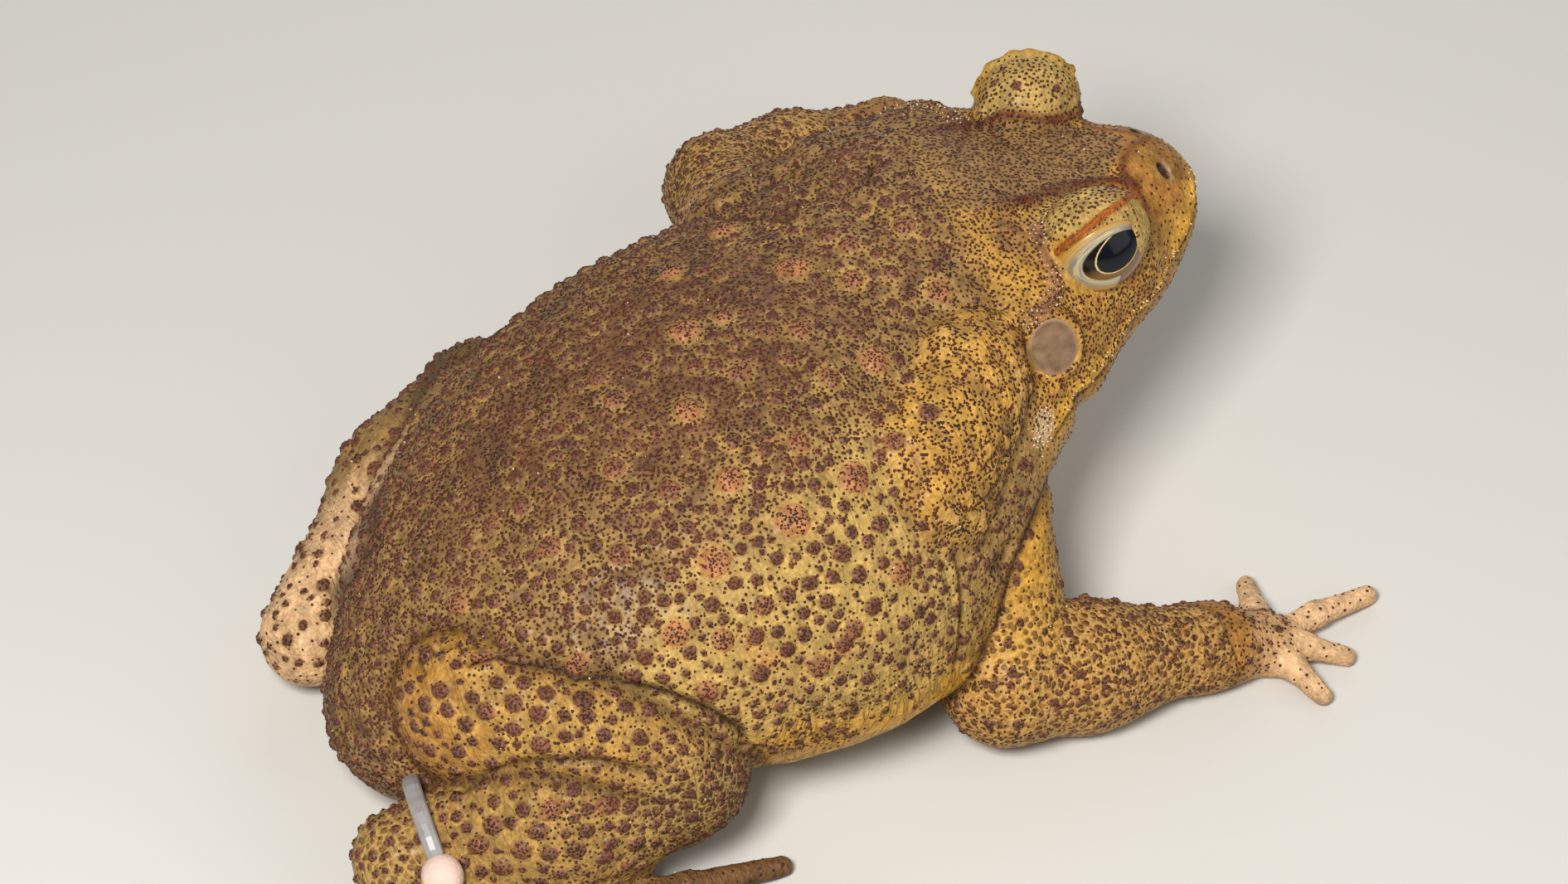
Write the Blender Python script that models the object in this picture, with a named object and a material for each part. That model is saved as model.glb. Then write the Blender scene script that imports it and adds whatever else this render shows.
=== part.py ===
# Cane toad, life size, crouched on its belly with its head turned a little to its right.
# +X runs from vent to snout, +Y is the toad's left, +Z is up and z = 0 is the floor.
# Shapes are worked out in millimetres and set down in metres.

import math
import random

import bmesh
import bpy
import numpy as np
from mathutils import Euler, Vector
from mathutils.bvhtree import BVHTree

MM = 0.001
GAP = 0.3

# Trunk: blobs with centre, radii and nose-up pitch in degrees
TRUNK_BLEND = 9.0
TRUNK_BLOBS = (
    ((-21.5, -3, 17), (19, 25, 15), 8),
    ((-8, -1, 22), (27, 32, 21), 10),
    ((11, 1, 26), (34, 37, 24.5), 13),
    ((18, -10, 19), (25, 26, 17), 0),
    ((32, 4.5, 29.5), (27, 31, 20.5), 14),
    ((46, 10, 33), (20, 24, 17), 8),
    ((-2, 0, 12), (30, 26, 13.5), 4),
    ((-36, -1, 12), (8, 9, 8), 0),
)

# Head: its own frame starts at the nape, x runs to the snout and z up
NAPE = (44.7, 11.5, 42.0)
HEAD_TURN = (-1.0, -1.0, -10.0)
HEAD_BLEND = 4.0
HEAD_BLOBS = (
    ((8, 0, -2), (23, 20, 12)),
    ((7, 0, -9), (26, 23, 10)),
    ((24, 0, -3.5), (16, 14, 10)),
    ((32, 0, -1.5), (9.6, 10, 8.2)),
    ((20, 0, -9), (18.5, 15, 7.5)),
    ((0, 0, -13), (18, 17, 10)),
    ((12, 0, -14), (17, 11.5, 10)),
)
ORBIT = ((22, 10.5, -1), (10, 8.2, 8.5))
CHEEK = ((11, 17.5, -4), (11, 6.5, 9))
LID = ((22.6, 13.8, 7.0), (7.6, 6.0, 6.2))
EYE_CENTRE = (21.9, 14.0, 6.2)
EYE_RADIUS = 6.3
EYE_FACES = (0.2, 1.0, 0.25)
EYE_INSET = 1.2
EYE_OPENING = (5.4, 4.3, 3.6)
DRUM_CENTRE = (11.4, 23.4, 0.6)
DRUM_FACES = (-0.1, 1.0, 0.42)
DRUM_RADIUS = 3.2
DRUM_DEPTH = 1.6
DRUM_PROUD = 0.2
DRUM_STEPS = 8
DRUM_SIDES = 28
SEAT_REACH = 6.0
NOSTRIL = (36.8, 4.3, 4.6)
NOSTRIL_SIZE = (1.1, 0.5, 1.6)
NOSTRIL_TURN = (0, 35, 30)
NECK_CUT_X = 47.0

# Ridges of the skull: points in the head's frame, half width and height
CREST = ((39.5, 4.4, 4), (36, 5.6, 6.6), (32, 7, 8.4), (24, 8.2, 10), (16, 9.4, 11), (10, 10.6, 10.6))
RIDGES = (
    (CREST, 1.5, 1.5),
    (((32, 7.4, 8.2), (32, 11.5, 4.5), (31, 14.5, 0)), 1.3, 1.0),
    (((12, 10.6, 10.6), (11.5, 16, 7), (12.5, 20, 3)), 1.5, 1.2),
)
LIP = (
    (41.5, 0, -5.2),
    (38, 7.5, -6.2),
    (32, 13.5, -7.6),
    (24, 19.5, -9.6),
    (15, 24, -12),
    (8, 25.5, -14.5),
)
LIP_GROOVE = 0.55
LIP_STEPS = 3

# Parotoid glands: lobes from behind the ear drum back over the shoulder
PAROTOID_BLEND = 4.0
PAROTOIDS = {
    "right": (
        ((39, -12.5, 43), (9.5, 8, 7.5)),
        ((31, -17.5, 40), (12.5, 9, 8.5)),
        ((26, -22.5, 34.5), (11, 8.5, 10)),
    ),
    "left": (
        ((55, 24.5, 42.5), (8, 7, 7)),
        ((45, 27, 41), (9, 7.5, 7.5)),
        ((34, 28.5, 38.5), (9.5, 7.5, 7.5)),
    ),
}

# Limbs: joints with the flesh radius at each, and the muscle along the upper leg
LIMB_BLEND = 4.0
DIGIT_BLEND = 1.2
ARMS = {
    "right": {"shoulder": ((39, -15, 25), 10.5), "elbow": ((34, -33, 9), 8.3), "wrist": ((61, -39, 5), 5.2)},
    "left": {"shoulder": ((38, 30, 24), 10.0), "elbow": ((48, 59, 15), 8.0), "wrist": ((78, 64, 7), 5.4)},
}
LEGS = {
    "right": {"hip": ((-27, -10, 20), 13.5), "knee": ((-13, -27, 15), 11), "heel": ((-45, -18.5, 8.5), 6.2)},
    "left": {"hip": ((-23, 11, 19), 13.0), "knee": ((-1, 39, 14.5), 10.0), "heel": ((-37, 21, 8), 6.5)},
}
THIGH_MUSCLE = {"right": ((-21, -19, 21), (18, 12, 12.5)), "left": ((-12, 23, 17.5), (16, 10, 10.5))}
THIGH_TURN = {"right": (0, 0, -48), "left": (0, 0, 45)}
ARM_SWELL = 1.1
CALF_SWELL = 1.25
CALF_SHARE = 0.4

# Fingers and toes: where their tips rest, from the inner digit outwards
TIP_HEIGHT = 1.1
KNUCKLE_LIFT = 0.9
PALM_REACH = 8.0
PALM_RADIUS = 4.2
PALM_SINK = 0.55
FINGER_RADII = (2.0, 1.3)
FINGERTIPS = {
    "right": ((74, -30), (86.5, -39.8), (77.6, -47.1), (71, -51)),
    "left": ((84, 51), (95, 51), (95, 61), (87, 71)),
}
TARSUS_END = {"right": (-29, -35, 4.2), "left": (-24, 37, 4.0)}
TARSUS_RADIUS = 4.4
TOE_RADII = (2.2, 1.3)
TOE_TIPS = {
    "right": ((-17, -36), (-10, -38), (-3, -38.5), (7, -51), (-6, -55)),
    "left": ((-15, 42), (-6, 46), (4, 50), (12, 54), (-6, 54)),
}
WEB_SHARE = 0.45
WEB_THICKNESS = 1.2

# The largest warts: the radius of the dark top, and where warts of that size sit in plan
MAIN_WARTS = {
    "torso": {
        2.1: ((8, -24), (17, -22), (-3, -23), (27, 7)),
        1.8: ((3, -16), (10, 6), (27, -10), (4, -6), (-11, -27), (40, -5), (25, 21)),
        1.5: (
            (18, -32), (4, -35), (-9, -32), (21, -11), (13, -16), (12, -4), (22, -2), (31, 1),
            (15, 17), (-18, -9), (-30, -6), (-7, -7), (-22, -22), (-12, -16), (-2, 1),
        ),
    },
    "thigh_right": {
        1.2: ((-38, -13), (-33, -19), (-28, -23), (-23, -26), (-19, -29), (-35, -18), (-29, -26), (-19, -32)),
    },
    "shank_right": {
        1.4: ((-31, -31), (-35, -31), (-30, -35), (-37, -28), (-24, -33), (-26, -36)),
    },
}
WART_SPREAD = 1.35

# Warts strewn between them: how many on the trunk and on each leg piece, and their radii
TRUNK_WARTS = 100
TRUNK_WART_RADII = (1.7, 2.7)
LEG_WARTS = 14
LEG_WART_RADII = (1.4, 2.0)
WART_RISE = 0.32
WART_FLOOR = 9.0
BARE_NAPE_X = 4.0
THIGH_CLEARANCE = 1.5

# Leg tag: a soft flat tube round the right shank above the heel, and a glossy bead on it
TAG_SHARE = 0.8
TAG_TUBE_WIDTH = 2.2
TAG_TUBE_THICKNESS = 1.3
TAG_SLACK = 1.15
TAG_BEAD_RADII = (2.9, 2.6, 2.6)
TAG_BEAD_ANGLE = 30.0
TAG_HIDDEN = 2.0

# Mesh fineness, and the triangles kept
TRUNK_VOXEL = 1.35
LIMB_VOXEL = 0.9
TRUNK_TRIANGLES = 5300
GLAND_TRIANGLES = 360
UPPER_ARM_TRIANGLES = 300
LOWER_ARM_TRIANGLES = 900
THIGH_TRIANGLES = 640
SHANK_TRIANGLES = 620
FOOT_TRIANGLES = 900

COLOURS = {
    "skin_back": ((0.33, 0.22, 0.07), 0.6),
    "skin_head": ((0.36, 0.25, 0.09), 0.55),
    "skin_arm": ((0.45, 0.28, 0.08), 0.6),
    "skin_leg": ((0.38, 0.26, 0.08), 0.6),
    "gland": ((0.42, 0.27, 0.08), 0.5),
    "drum": ((0.22, 0.17, 0.12), 0.5),
    "eye": ((0.01, 0.012, 0.02), 0.08),
    "tag_tube": ((0.42, 0.44, 0.46), 0.4),
    "tag_bead": ((0.7, 0.56, 0.52), 0.2),
}


def clear_scene():
    for item in list(bpy.data.objects):
        bpy.data.objects.remove(item, do_unlink=True)


def finish_of(name):
    material = bpy.data.materials.get(name) or bpy.data.materials.new(name)
    colour, roughness = COLOURS[name]
    material.use_nodes = True
    shader = material.node_tree.nodes["Principled BSDF"]
    shader.inputs["Base Color"].default_value = (*colour, 1.0)
    shader.inputs["Roughness"].default_value = roughness
    shader.inputs["Metallic"].default_value = 0.0
    return material


def turn_of(degrees):
    return np.array(Euler([math.radians(d) for d in degrees], "XYZ").to_matrix())


def rounded_min(a, b, blend):
    h = np.maximum(blend - np.abs(a - b), 0) / blend
    return np.minimum(a, b) - h * h * blend / 4


class Blob:
    """An ellipsoid with a centre, three radii and a turn."""

    def __init__(self, centre, radii, turn=None):
        self.centre = np.array(centre, float)
        self.radii = np.array(radii, float)
        self.turn = np.eye(3) if turn is None else turn

    def distance(self, points):
        local = (points - self.centre) @ self.turn
        k0 = np.linalg.norm(local / self.radii, axis=1)
        k1 = np.linalg.norm(local / self.radii**2, axis=1)
        return k0 * (k0 - 1) / np.maximum(k1, 1e-6)

    def add_to(self, mesh, shrink):
        made = bmesh.ops.create_icosphere(mesh, subdivisions=3, radius=1.0)
        radii = np.maximum(self.radii - shrink, self.radii * 0.5)
        for vert in made["verts"]:
            vert.co = Vector(self.turn @ (np.array(vert.co) * radii) + self.centre)


class Bone:
    """A straight limb that tapers between two round ends."""

    def __init__(self, start, end, start_radius, end_radius):
        self.start = np.array(start, float)
        self.end = np.array(end, float)
        self.radii = (start_radius, end_radius)

    def distance(self, points):
        along = self.end - self.start
        share = np.clip((points - self.start) @ along / (along @ along), 0, 1)
        nearest = self.start + share[:, None] * along
        radius = self.radii[0] + (self.radii[1] - self.radii[0]) * share
        return np.linalg.norm(points - nearest, axis=1) - radius

    def add_to(self, mesh, shrink):
        length = float(np.linalg.norm(self.end - self.start))
        steps = max(2, math.ceil(length / (0.5 * min(self.radii))))
        for step in range(steps + 1):
            share = step / steps
            radius = self.radii[0] + (self.radii[1] - self.radii[0]) * share - shrink
            made = bmesh.ops.create_icosphere(mesh, subdivisions=2, radius=radius)
            centre = self.start + (self.end - self.start) * share
            bmesh.ops.translate(mesh, verts=made["verts"], vec=Vector(centre))


def field_of(shapes, blend):
    def distance(points):
        total = shapes[0].distance(points)
        for shape in shapes[1:]:
            total = rounded_min(total, shape.distance(points), blend)
        return total

    return distance


def slope_of(distance, points):
    step = 0.05
    columns = []
    for axis in np.eye(3):
        columns.append(distance(points + axis * step) - distance(points - axis * step))
    slope = np.stack(columns, axis=1) / (2 * step)
    return slope / np.maximum(np.linalg.norm(slope, axis=1, keepdims=True), 1e-9)


def points_of(mesh):
    points = np.empty(len(mesh.vertices) * 3)
    mesh.vertices.foreach_get("co", points)
    return points.reshape(-1, 3)


def set_points(mesh, points):
    mesh.vertices.foreach_set("co", np.ascontiguousarray(points, float).ravel())
    mesh.update()


def baked(item):
    """The object's mesh with its modifiers applied."""
    graph = bpy.context.evaluated_depsgraph_get()
    graph.update()
    mesh = bpy.data.meshes.new_from_object(item.evaluated_get(graph))
    item.modifiers.clear()
    item.data = mesh
    return mesh


def new_object(name, mesh):
    item = bpy.data.objects.new(name, mesh)
    bpy.context.scene.collection.objects.link(item)
    return item


def grow_flesh(name, shapes, distance, voxel):
    """One closed skin round the shapes, settled on their blended surface, in millimetres."""
    start = bmesh.new()
    for shape in shapes:
        shape.add_to(start, 0.3 * voxel)
    mesh = bpy.data.meshes.new(name)
    start.to_mesh(mesh)
    start.free()
    item = new_object(name, mesh)
    for steps in (4, 1):
        remesh = item.modifiers.new("skin", "REMESH")
        remesh.mode = "VOXEL"
        remesh.voxel_size = voxel
        mesh = baked(item)
        points = points_of(mesh)
        for _ in range(steps):
            move = np.clip(distance(points), -0.5 * voxel, 0.5 * voxel)
            points = points - move[:, None] * slope_of(distance, points)
        set_points(mesh, points)
    return item


def distance_to_line(points, line):
    nearest = np.full(len(points), 1e9)
    for start, end in zip(line[:-1], line[1:]):
        along = end - start
        share = np.clip((points - start) @ along / (along @ along), 0, 1)
        gap = np.linalg.norm(points - start - share[:, None] * along, axis=1)
        nearest = np.minimum(nearest, gap)
    return nearest


HEAD_AXES = turn_of(HEAD_TURN)


def in_head(point):
    return HEAD_AXES @ np.array(point, float) + np.array(NAPE)


def mirrored(point):
    return (point[0], -point[1], point[2])


def trunk_shapes():
    shapes = [Blob(centre, radii, turn_of((0, -pitch, 0))) for centre, radii, pitch in TRUNK_BLOBS]
    head = [Blob(in_head(centre), radii, HEAD_AXES) for centre, radii in HEAD_BLOBS]
    for centre, radii in (CHEEK, ORBIT, LID):
        head.append(Blob(in_head(centre), radii, HEAD_AXES))
        head.append(Blob(in_head(mirrored(centre)), radii, HEAD_AXES))
    return shapes, head


def trunk_distance():
    shapes, head = trunk_shapes()
    body = field_of(shapes, TRUNK_BLEND)
    skull = field_of(head, HEAD_BLEND)
    return lambda points: rounded_min(body(points), skull(points), TRUNK_BLEND)


def raise_ridges(points, normals):
    lift = np.zeros(len(points))
    for line, width, height in RIDGES:
        for side in (1, -1):
            placed = [in_head((x, y * side, z)) for x, y, z in line]
            gap = distance_to_line(points, np.array(placed))
            lift = np.maximum(lift, height * np.exp(-((gap / width) ** 2)))
    return points + normals * lift[:, None]


def wart_places(name, points, allowed, count, radii):
    """Centres and radii of warts: the listed ones, then others strewn clear of them and of each other."""
    placed = []
    for radius, spots in MAIN_WARTS.get(name, {}).items():
        for x, y in spots:
            aside = np.hypot(points[:, 0] - x, points[:, 1] - y)
            aside[~allowed] = np.inf
            placed.append((points[np.argmin(aside)], radius * WART_SPREAD))
    rng = random.Random(name)
    order = list(np.flatnonzero(allowed))
    rng.shuffle(order)
    total = len(placed) + count
    for index in order:
        radius = rng.uniform(*radii)
        spot = points[index]
        if all(np.linalg.norm(spot - other) > radius + size for other, size in placed):
            placed.append((spot, radius))
        if len(placed) == total:
            break
    return placed


def raise_warts(points, normals, warts):
    lift = np.zeros(len(points))
    for centre, radius in warts:
        share = np.linalg.norm(points - centre, axis=1) / radius
        dome = np.clip(1 - share**2, 0, None) ** 1.5 * radius * WART_RISE
        lift = np.maximum(lift, dome)
    return points + normals * lift[:, None]


def thin_out(item, triangles):
    mesh = item.data
    mesh.calc_loop_triangles()
    share = triangles / len(mesh.loop_triangles)
    if share < 1:
        fewer = item.modifiers.new("fewer", "DECIMATE")
        fewer.ratio = share
        fewer.use_collapse_triangulate = True
        baked(item)


def main_surface(item):
    """Keeps the largest of the mesh's closed surfaces."""
    shape = bmesh.new()
    shape.from_mesh(item.data)
    left = set(shape.verts)
    groups = []
    while left:
        stack = [left.pop()]
        group = set(stack)
        while stack:
            for edge in stack.pop().link_edges:
                for vert in edge.verts:
                    if vert in left:
                        left.remove(vert)
                        group.add(vert)
                        stack.append(vert)
        groups.append(group)
    groups.sort(key=len)
    for group in groups[:-1]:
        bmesh.ops.delete(shape, geom=list(group), context="VERTS")
    shape.to_mesh(item.data)
    shape.free()


def combine(item, others, operation="DIFFERENCE", solver="EXACT"):
    """Cuts the others from the item, or keeps what they share, and bakes the result."""
    for other in others:
        change = item.modifiers.new("change", "BOOLEAN")
        change.operation = operation
        change.object = other
        change.solver = solver
    baked(item)
    main_surface(item)


def cut_clear(item, rooms):
    """Cuts dense skins from one another, where the exact solver loses whole pieces."""
    combine(item, rooms, solver="MANIFOLD")


def swollen(item, by):
    """A helper copy of the item, pushed out along its normals."""
    mesh = item.data.copy()
    normals = np.empty(len(mesh.vertices) * 3)
    mesh.vertices.foreach_get("normal", normals)
    set_points(mesh, points_of(mesh) + normals.reshape(-1, 3) * by)
    return as_cutter(new_object(item.name + "_room", mesh))


def as_cutter(item):
    item.hide_render = True
    item.display_type = "WIRE"
    return item


def discard(items):
    for item in items:
        bpy.data.objects.remove(item, do_unlink=True)


def half_space(point, direction):
    """A large block that covers everything on the side of the point that the direction shows."""
    size = 400.0
    shape = bmesh.new()
    bmesh.ops.create_cube(shape, size=size)
    mesh = bpy.data.meshes.new("half")
    shape.to_mesh(mesh)
    shape.free()
    item = as_cutter(new_object("half", mesh))
    way = Vector(direction).normalized()
    turned = np.array(way.to_track_quat("X", "Z").to_matrix())
    points = points_of(mesh) @ turned.T
    set_points(mesh, points + np.array(point, float) + np.array(way) * size / 2)
    return item


def split(item, point, direction, names):
    """Two pieces of the item, either side of a plane, with the usual gap between them."""
    way = np.array(Vector(direction).normalized())
    centre = np.array(point, float)
    ahead = new_object(names[1], item.data.copy())
    cutter_back = half_space(centre + way * GAP / 2, -way)
    cutter_front = half_space(centre - way * GAP / 2, way)
    combine(ahead, [cutter_back])
    combine(item, [cutter_front])
    item.name = names[0]
    discard([cutter_back, cutter_front])
    return item, ahead


def blob_object(name, blob, grown=0.0, fineness=3):
    shape = bmesh.new()
    made = bmesh.ops.create_icosphere(shape, subdivisions=fineness, radius=1.0)
    for vert in made["verts"]:
        vert.co = Vector(blob.turn @ (np.array(vert.co) * (blob.radii + grown)) + blob.centre)
    mesh = bpy.data.meshes.new(name)
    shape.to_mesh(mesh)
    shape.free()
    return new_object(name, mesh)


def facing(direction, side):
    """Axes whose second column looks out of the side of the head."""
    out = Vector((direction[0], direction[1] * side, direction[2])).normalized()
    ahead = Vector((1, 0, 0))
    ahead = (ahead - out * ahead.dot(out)).normalized()
    up = ahead.cross(out) * side
    local = np.array([ahead, out * side, up]).T
    return HEAD_AXES @ local


def make_eye(side, name):
    centre = in_head((EYE_CENTRE[0], EYE_CENTRE[1] * side, EYE_CENTRE[2]))
    axes = facing(EYE_FACES, side)
    front = centre + axes[:, 1] * side * (EYE_RADIUS - EYE_INSET)
    socket = as_cutter(blob_object("socket_" + name, Blob(front, EYE_OPENING, axes), GAP))
    eye = blob_object("eye_" + name, Blob(front, EYE_OPENING, axes))
    ball = as_cutter(blob_object("ball", Blob(centre, (EYE_RADIUS,) * 3, axes)))
    combine(eye, [ball], "INTERSECT")
    discard([ball])
    return eye, socket


def make_drum(side, name):
    """A short disc let into the cheek, its face just proud of the skin."""
    centre = in_head((DRUM_CENTRE[0], DRUM_CENTRE[1] * side, DRUM_CENTRE[2]))
    axes = facing(DRUM_FACES, side)
    outward = axes[:, 1] * side
    distance = trunk_distance()
    for _ in range(DRUM_STEPS):
        centre = centre - outward * distance(centre[None])[0]
    centre = centre - outward * (DRUM_DEPTH / 2 - DRUM_PROUD)
    pieces = []
    for title, grown, reach in (("tympanum_", 0.0, 0.0), ("drum_seat_", GAP, SEAT_REACH)):
        shape = bmesh.new()
        bmesh.ops.create_cone(
            shape,
            cap_ends=True,
            segments=DRUM_SIDES,
            radius1=DRUM_RADIUS + grown,
            radius2=DRUM_RADIUS + grown,
            depth=DRUM_DEPTH + 2 * grown + reach,
        )
        for vert in shape.verts:
            x, y, z = vert.co
            vert.co = Vector(centre + axes @ np.array((x, (z + reach / 2) * side, -y * side)))
        mesh = bpy.data.meshes.new(title + name)
        shape.to_mesh(mesh)
        shape.free()
        pieces.append(new_object(title + name, mesh))
    return pieces[0], as_cutter(pieces[1])


def tube(name, line, radii, bevel=2):
    """A round rod along a line, with a radius at each point, in millimetres."""
    curve = bpy.data.curves.new(name, "CURVE")
    curve.dimensions = "3D"
    curve.bevel_depth = 1.0
    curve.bevel_resolution = bevel
    curve.use_fill_caps = True
    spline = curve.splines.new("POLY")
    spline.points.add(len(line) - 1)
    for spot, point, radius in zip(spline.points, line, radii):
        spot.co = (*point, 1.0)
        spot.radius = radius
    item = new_object(name, curve)
    graph = bpy.context.evaluated_depsgraph_get()
    graph.update()
    mesh = bpy.data.meshes.new_from_object(item.evaluated_get(graph))
    bpy.data.objects.remove(item, do_unlink=True)
    shape = bmesh.new()
    shape.from_mesh(mesh)
    bmesh.ops.remove_doubles(shape, verts=shape.verts, dist=0.001)
    bmesh.ops.recalc_face_normals(shape, faces=shape.faces)
    shape.to_mesh(mesh)
    shape.free()
    return new_object(name, mesh)


def lip_cutters(head):
    """The line of the mouth: one thin rod round the jaw, half sunk in the skin."""
    tree = BVHTree.FromPolygons(
        [Vector(p) for p in points_of(head.data)],
        [tuple(face.vertices) for face in head.data.polygons],
    )
    around = [mirrored(p) for p in reversed(LIP[1:])] + list(LIP)
    guide = [Vector(in_head(p)) for p in around]
    line = []
    for start, end in zip(guide[:-1], guide[1:]):
        line += [start.lerp(end, step / LIP_STEPS) for step in range(LIP_STEPS)]
    line.append(guide[-1])
    placed = [tree.find_nearest(point)[0] for point in line]
    return as_cutter(tube("mouth", placed, [LIP_GROOVE] * len(placed), 1))


def nostril_cutters():
    made = []
    for side in (1, -1):
        centre = in_head((NOSTRIL[0], NOSTRIL[1] * side, NOSTRIL[2]))
        roll, pitch, yaw = NOSTRIL_TURN
        axes = HEAD_AXES @ turn_of((roll, pitch, yaw * side))
        made.append(as_cutter(blob_object("nostril", Blob(centre, NOSTRIL_SIZE, axes), 0.0, 2)))
    return made


def swelling_bone(start, end, swell):
    """Two bones end to end, the flesh swollen where they meet."""
    (a, ra), (b, rb) = start, end
    middle = np.array(a) * (1 - CALF_SHARE) + np.array(b) * CALF_SHARE
    thick = (ra * (1 - CALF_SHARE) + rb * CALF_SHARE) * swell
    return [Bone(a, middle, ra, thick), Bone(middle, b, thick, rb)]


def digit_shapes(root, tip, radii):
    root = np.array(root, float)
    tip = np.array(tip, float)
    knuckle = (root + tip) / 2 + np.array((0, 0, KNUCKLE_LIFT))
    middle = (radii[0] + radii[1]) / 2
    return [Bone(root, knuckle, radii[0], middle), Bone(knuckle, tip, middle, radii[1])]


def limb_distance(flesh, digits):
    body = field_of(flesh, LIMB_BLEND)
    ends = field_of(digits, DIGIT_BLEND)
    return lambda points: rounded_min(body(points), ends(points), 2 * DIGIT_BLEND)


def lower_arm_shapes(side):
    arm = ARMS[side]
    wrist, wrist_radius = arm["wrist"]
    tips = [np.array((x, y, TIP_HEIGHT)) for x, y in FINGERTIPS[side]]
    way = np.mean(tips, axis=0) - np.array(wrist)
    palm = np.array(wrist) + way / np.linalg.norm(way) * PALM_REACH
    palm[2] = PALM_RADIUS * PALM_SINK
    flesh = swelling_bone(arm["elbow"], arm["wrist"], ARM_SWELL)
    flesh.append(Bone(wrist, palm, wrist_radius * 0.9, PALM_RADIUS))
    digits = []
    for tip in tips:
        digits += digit_shapes(palm, tip, FINGER_RADII)
    return flesh, digits


def thigh_shapes(side):
    leg = LEGS[side]
    hip, hip_radius = leg["hip"]
    knee, knee_radius = leg["knee"]
    centre, radii = THIGH_MUSCLE[side]
    return [Bone(hip, knee, hip_radius, knee_radius), Blob(centre, radii, turn_of(THIGH_TURN[side]))]


def foot_shapes(side):
    heel, heel_radius = LEGS[side]["heel"]
    end = np.array(TARSUS_END[side], float)
    tips = [np.array((x, y, TIP_HEIGHT)) for x, y in TOE_TIPS[side]]
    digits = []
    for tip in tips:
        digits += digit_shapes(end, tip, TOE_RADII)
    for first, second in zip(tips[:-1], tips[1:]):
        middle = end + ((first + second) / 2 - end) * WEB_SHARE
        digits.append(Bone(end, middle, WEB_THICKNESS * 1.6, WEB_THICKNESS))
    return [Bone(heel, end, heel_radius * 0.85, TARSUS_RADIUS)], digits


def flesh_piece(name, flesh, digits, triangles, cutters):
    """One piece of a limb, cut clear of what it lies against, and the room that it asks of others."""
    distance = limb_distance(flesh, digits) if digits else field_of(flesh, LIMB_BLEND)
    item = grow_flesh(name, flesh + digits, distance, LIMB_VOXEL)
    if name.startswith(("thigh", "shank")):
        points = points_of(item.data)
        normals = slope_of(distance, points)
        allowed = (points[:, 2] > WART_FLOOR) & (normals[:, 2] > -0.1)
        warts = wart_places(name, points, allowed, LEG_WARTS, LEG_WART_RADII)
        set_points(item.data, raise_warts(points, normals, warts))
    thin_out(item, triangles)
    room = swollen(item, GAP)
    cut_clear(item, cutters)
    return item, room


def make_arm(side, trunk_rooms, floor):
    arm = ARMS[side]
    shoulder, shoulder_radius = arm["shoulder"]
    elbow, elbow_radius = arm["elbow"]
    upper_flesh = [Bone(shoulder, elbow, shoulder_radius, elbow_radius)]
    cutters = trunk_rooms + [floor]
    upper, upper_room = flesh_piece("upper_arm_" + side, upper_flesh, [], UPPER_ARM_TRIANGLES, cutters)
    flesh, digits = lower_arm_shapes(side)
    cutters.append(upper_room)
    lower, _ = flesh_piece("forearm_" + side, flesh, digits, LOWER_ARM_TRIANGLES, cutters)
    wrist = np.array(arm["wrist"][0], float)
    lower, hand = split(lower, wrist, wrist - np.array(elbow), ("forearm_" + side, "hand_" + side))
    return [upper, lower, hand]


def make_leg(side, trunk_room, floor):
    leg = LEGS[side]
    cutters = [trunk_room, floor]
    thigh, room = flesh_piece("thigh_" + side, thigh_shapes(side), [], THIGH_TRIANGLES, cutters)
    cutters.append(room)
    shank_flesh = swelling_bone(leg["knee"], leg["heel"], CALF_SWELL)
    shank, room = flesh_piece("shank_" + side, shank_flesh, [], SHANK_TRIANGLES, cutters)
    cutters.append(room)
    flesh, digits = foot_shapes(side)
    foot, room = flesh_piece("foot_" + side, flesh, digits, FOOT_TRIANGLES, cutters)
    cutters.append(room)
    return [thigh, shank, foot], cutters


def make_tag(rooms):
    """The tube bends across the shank, and the bead sits on its outer side. The part of the ring
    that the fold between shank, foot and rump would crush is left out."""
    calf = swelling_bone(LEGS["right"]["knee"], LEGS["right"]["heel"], CALF_SWELL)[1]
    along = calf.end - calf.start
    centre = calf.start + along * TAG_SHARE
    flesh = calf.radii[0] + (calf.radii[1] - calf.radii[0]) * TAG_SHARE
    ring = flesh + TAG_SLACK + TAG_TUBE_THICKNESS / 2
    shape = bmesh.new()
    profile = bmesh.ops.create_circle(shape, segments=10, radius=1.0)["verts"]
    for vert in profile:
        x, y, _ = vert.co
        vert.co = Vector((ring + x * TAG_TUBE_THICKNESS / 2, 0, y * TAG_TUBE_WIDTH / 2))
    edges = list(shape.edges)
    bmesh.ops.spin(
        shape,
        geom=profile + edges,
        cent=(0, 0, 0),
        axis=(0, 0, 1),
        angle=math.tau,
        steps=36,
        use_merge=True,
    )
    bmesh.ops.recalc_face_normals(shape, faces=shape.faces)
    mesh = bpy.data.meshes.new("tag_tube")
    shape.to_mesh(mesh)
    shape.free()
    along = Vector(along).normalized()
    outward = Vector((0, 0, 1)).cross(along).normalized()
    upward = along.cross(outward)
    axes = np.array([outward, upward, along]).T
    set_points(mesh, points_of(mesh) @ axes.T + centre)
    tube_item = new_object("tag_tube", mesh)
    angle = math.radians(TAG_BEAD_ANGLE)
    side = axes[:, 0] * math.cos(angle) + axes[:, 1] * math.sin(angle)
    bead_centre = centre + side * (ring + TAG_TUBE_THICKNESS / 2)
    bead = blob_object("tag_bead", Blob(bead_centre, TAG_BEAD_RADII, axes))
    cut_clear(bead, rooms + [swollen(tube_item, GAP)])
    combine(tube_item, [half_space(centre - side * TAG_HIDDEN, -side)])
    cut_clear(tube_item, rooms)
    return tube_item, bead


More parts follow.
